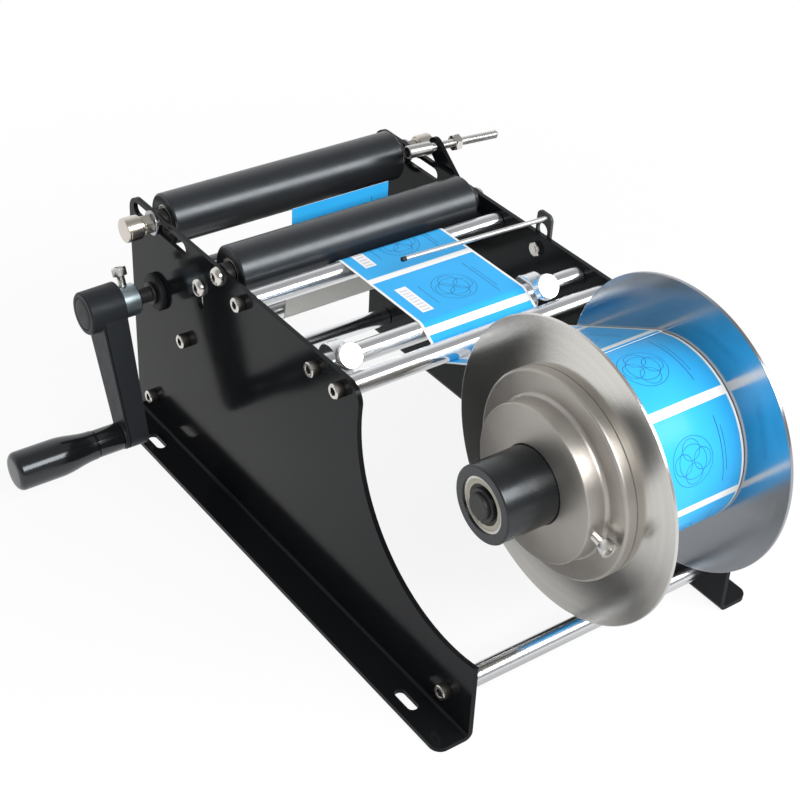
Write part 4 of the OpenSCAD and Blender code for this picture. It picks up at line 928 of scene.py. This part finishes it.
def label_roll(start_angle):
    """Wound roll: print on its outer face, layers on its sides."""
    low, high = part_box("label_roll")
    cy, cz = line("label_roll")
    r_out, r_in = radius("label_roll"), radius("label_core") + 0.03 * MM
    n, edge = 192, 0.2 * MM
    rings = [(low.x, r_in), (low.x, r_out - edge), (low.x + edge, r_out), (high.x - edge, r_out),
             (high.x, r_out - edge), (high.x, r_in)]
    print_band = 2
    vertices = [(x, cy + r * math.cos(2 * math.pi * j / n), cz + r * math.sin(2 * math.pi * j / n))
                for x, r in rings for j in range(n)]
    faces = []
    for i in range(len(rings)):
        a, b = i * n, (i + 1) % len(rings) * n
        faces += [(a + j, a + (j + 1) % n, b + (j + 1) % n, b + j) for j in range(n)]
    mesh = bpy.data.meshes.new("label_roll_form")
    mesh.from_pydata(vertices, [], faces)
    layer = mesh.uv_layers.new(name="label")
    for face in mesh.polygons:
        face.material_index = 0 if face.index // n == print_band else 1
        for loop in face.loop_indices:
            vertex = mesh.loops[loop].vertex_index
            step = vertex % n
            step = n if step == 0 and face.index % n == n - 1 else step
            wound = (start_angle - 2 * math.pi * step / n) * r_out / MM
            layer.data[loop].uv = ((vertices[vertex][0] - low.x) / MM, ROLL_START + wound)
    placed(mesh, "label_roll", [LABEL, ROLL_SIDE], PAPER_SMOOTH)


# ---------------------------------------------------------------- floor, light and camera

def seen_rays(tree):
    """1 for the rays of the camera and of what mirrors or lets through, 0 for those that light the object."""
    rays = tree.nodes.new("ShaderNodeLightPath")
    total = rays.outputs["Is Camera Ray"]
    for name in ("Is Glossy Ray", "Is Transmission Ray"):
        both = tree.nodes.new("ShaderNodeMath")
        both.operation = "MAXIMUM"
        tree.links.new(total, both.inputs[0])
        tree.links.new(rays.outputs[name], both.inputs[1])
        total = both.outputs[0]
    return total


FLOOR_HALF = 6.0
# share of white in the floor that is seen, by the machine and from LIFT_REACH metres on
NEAR_LIFT, FAR_LIFT, LIFT_REACH = 0.86, 1.0, 0.75
# strength of that white in mirroring pieces, lowered right by the reel as a painted shadow; it is 1 from
# REEL_SHADE_REACH metres on
REEL_SHADE, REEL_SHADE_REACH = 0.45, 0.26
WORLD_LIGHT = 0.40


def floor():
    """White floor, lifted to white where it is seen, so that only a faint shadow stays by the machine;
    mirrors see a painted shadow by the reel.
    """
    size = FLOOR_HALF
    mesh = bpy.data.meshes.new("floor")
    corners = [(-size, -size, 0), (size, -size, 0), (size, size, 0), (-size, size, 0)]
    mesh.from_pydata(corners, [], [(0, 1, 2, 3)])
    made = bpy.data.objects.new("floor", mesh)
    bpy.context.scene.collection.objects.link(made)
    made.location.z = -0.2 * MM
    g = Graph("floor_white")
    g.set(Base_Color=(0.93, 0.93, 0.93, 1.0), Roughness=0.7, Specular_IOR_Level=0.1)
    white = g.node("ShaderNodeEmission")
    from_reel = g.node("ShaderNodeVectorMath", operation="DISTANCE")
    g.feed(from_reel.inputs[0], g.place)
    from_reel.inputs[1].default_value = on_line(span("outer_disc")[0], (reel_line[0], 0.0))
    # painted shadow: the white that mirroring pieces see is weaker by the reel
    mirrored = g.rise(from_reel.outputs["Value"], REEL_SHADE_REACH, REEL_SHADE, 1.0)
    camera_ray = g.node("ShaderNodeLightPath").outputs["Is Camera Ray"]
    g.feed(white.inputs["Strength"], g.math("MAXIMUM", mirrored, camera_ray))
    both = g.node("ShaderNodeMixShader")
    away = g.node("ShaderNodeVectorMath", operation="LENGTH")
    g.feed(away.inputs[0], g.place)
    lift = g.rise(away.outputs["Value"], LIFT_REACH, NEAR_LIFT, FAR_LIFT)
    g.feed(both.inputs[0], g.math("MULTIPLY", seen_rays(g.tree), lift))
    g.feed(both.inputs[1], g.shader.outputs[0])
    g.feed(both.inputs[2], white.outputs[0])
    g.feed(g.tree.nodes["Material Output"].inputs["Surface"], both.outputs[0])
    mesh.materials.append(g.material)


def lamp(name, place, aim, size, power):
    """Soft rectangular lamp, with its power in watts."""
    light = bpy.data.lights.new(name, "AREA")
    light.shape = "RECTANGLE"
    light.size, light.size_y = size
    light.energy = power
    made = bpy.data.objects.new(name, light)
    made.location = place
    made.rotation_euler = (Vector(aim) - Vector(place)).to_track_quat("-Z", "Y").to_euler()
    bpy.context.scene.collection.objects.link(made)


def sky():
    """Even light and a white background. In the bright rods it turns grey overhead and in front."""
    world = bpy.data.worlds.new("studio")
    bpy.context.scene.world = world
    world.use_nodes = True
    tree = world.node_tree
    lit = tree.nodes["Background"]
    lit.inputs["Color"].default_value = (1, 1, 1, 1)
    lit.inputs["Strength"].default_value = WORLD_LIGHT
    seen = tree.nodes.new("ShaderNodeBackground")
    seen.inputs["Color"].default_value = (1, 1, 1, 1)
    way_out = tree.nodes.new("ShaderNodeTexCoord").outputs["Generated"]
    parts = tree.nodes.new("ShaderNodeSeparateXYZ")
    tree.links.new(way_out, parts.inputs[0])
    sweep = tree.nodes.new("ShaderNodeMapRange")
    sweep.interpolation_type = "SMOOTHSTEP"
    for name, value in (("From Min", 0.1), ("From Max", 0.85), ("To Min", 0.37), ("To Max", 1.0)):
        sweep.inputs[name].default_value = value
    tree.links.new(parts.outputs["Y"], sweep.inputs["Value"])
    white = tree.nodes.new("ShaderNodeMath")
    white.operation = "MAXIMUM"
    tree.links.new(sweep.outputs["Result"], white.inputs[0])
    tree.links.new(tree.nodes.new("ShaderNodeLightPath").outputs["Is Camera Ray"], white.inputs[1])
    tree.links.new(white.outputs[0], seen.inputs["Strength"])
    both = tree.nodes.new("ShaderNodeMixShader")
    tree.links.new(seen_rays(tree), both.inputs[0])
    tree.links.new(lit.outputs[0], both.inputs[1])
    tree.links.new(seen.outputs[0], both.inputs[2])
    tree.links.new(both.outputs[0], tree.nodes["World Output"].inputs["Surface"])


def camera():
    """Camera at the photograph's place. Its angles, in degrees, were found from straight edges."""
    azimuth, height, roll = (math.radians(v) for v in (-37.112, 34.945, 2.939))
    place = Vector((-0.49124, -0.64386, 0.67734))
    level_part = math.cos(height)
    back = Vector((math.sin(azimuth) * level_part, -math.cos(azimuth) * level_part, math.sin(height)))
    right = Vector((0, 0, 1)).cross(back).normalized()
    up = back.cross(right)
    level = Matrix((right, up, back)).transposed().to_4x4()
    data = bpy.data.cameras.new("camera")
    data.sensor_width = 36.0
    data.lens = 76.061
    data.clip_end = 20.0
    made = bpy.data.objects.new("camera", data)
    made.matrix_world = Matrix.Translation(place) @ level @ Matrix.Rotation(roll, 4, "Z")
    bpy.context.scene.collection.objects.link(made)
    bpy.context.scene.camera = made


def studio():
    floor()
    sky()
    lamp("key", place=(0.30, -0.95, 0.93), aim=(0.30, 0.05, 0.12), size=(1.9, 0.55), power=27.0)
    camera()
    bpy.context.scene.view_settings.view_transform = "Standard"


plates_and_rods()
rollers()
tie_rod_screws()
pan_head_screws()
nut_pair("peel_plate_nuts", height=4.8 * MM, bore=3.03 * MM, material=STAINLESS)
nut_pair("rear_axle_nuts", height=6.4 * MM, bore=4.03 * MM, material=NICKEL)
axle_knob("left_axle_knob", -1)
axle_knob("right_axle_knob", 1)
crank()
set_screw()
handle_grip()
reel()
spindle_nut()
for end, facing in (("outer", -1), ("inner", 1)):
    collar(end + "_collar", facing)
    clamp_bolt(end + "_clamp_bolt")
edge_guide("left")
edge_guide("right")
bottle_stop()
finger()
web_and_liner()
leading_label()
studio()

bpy.context.view_layer.update()
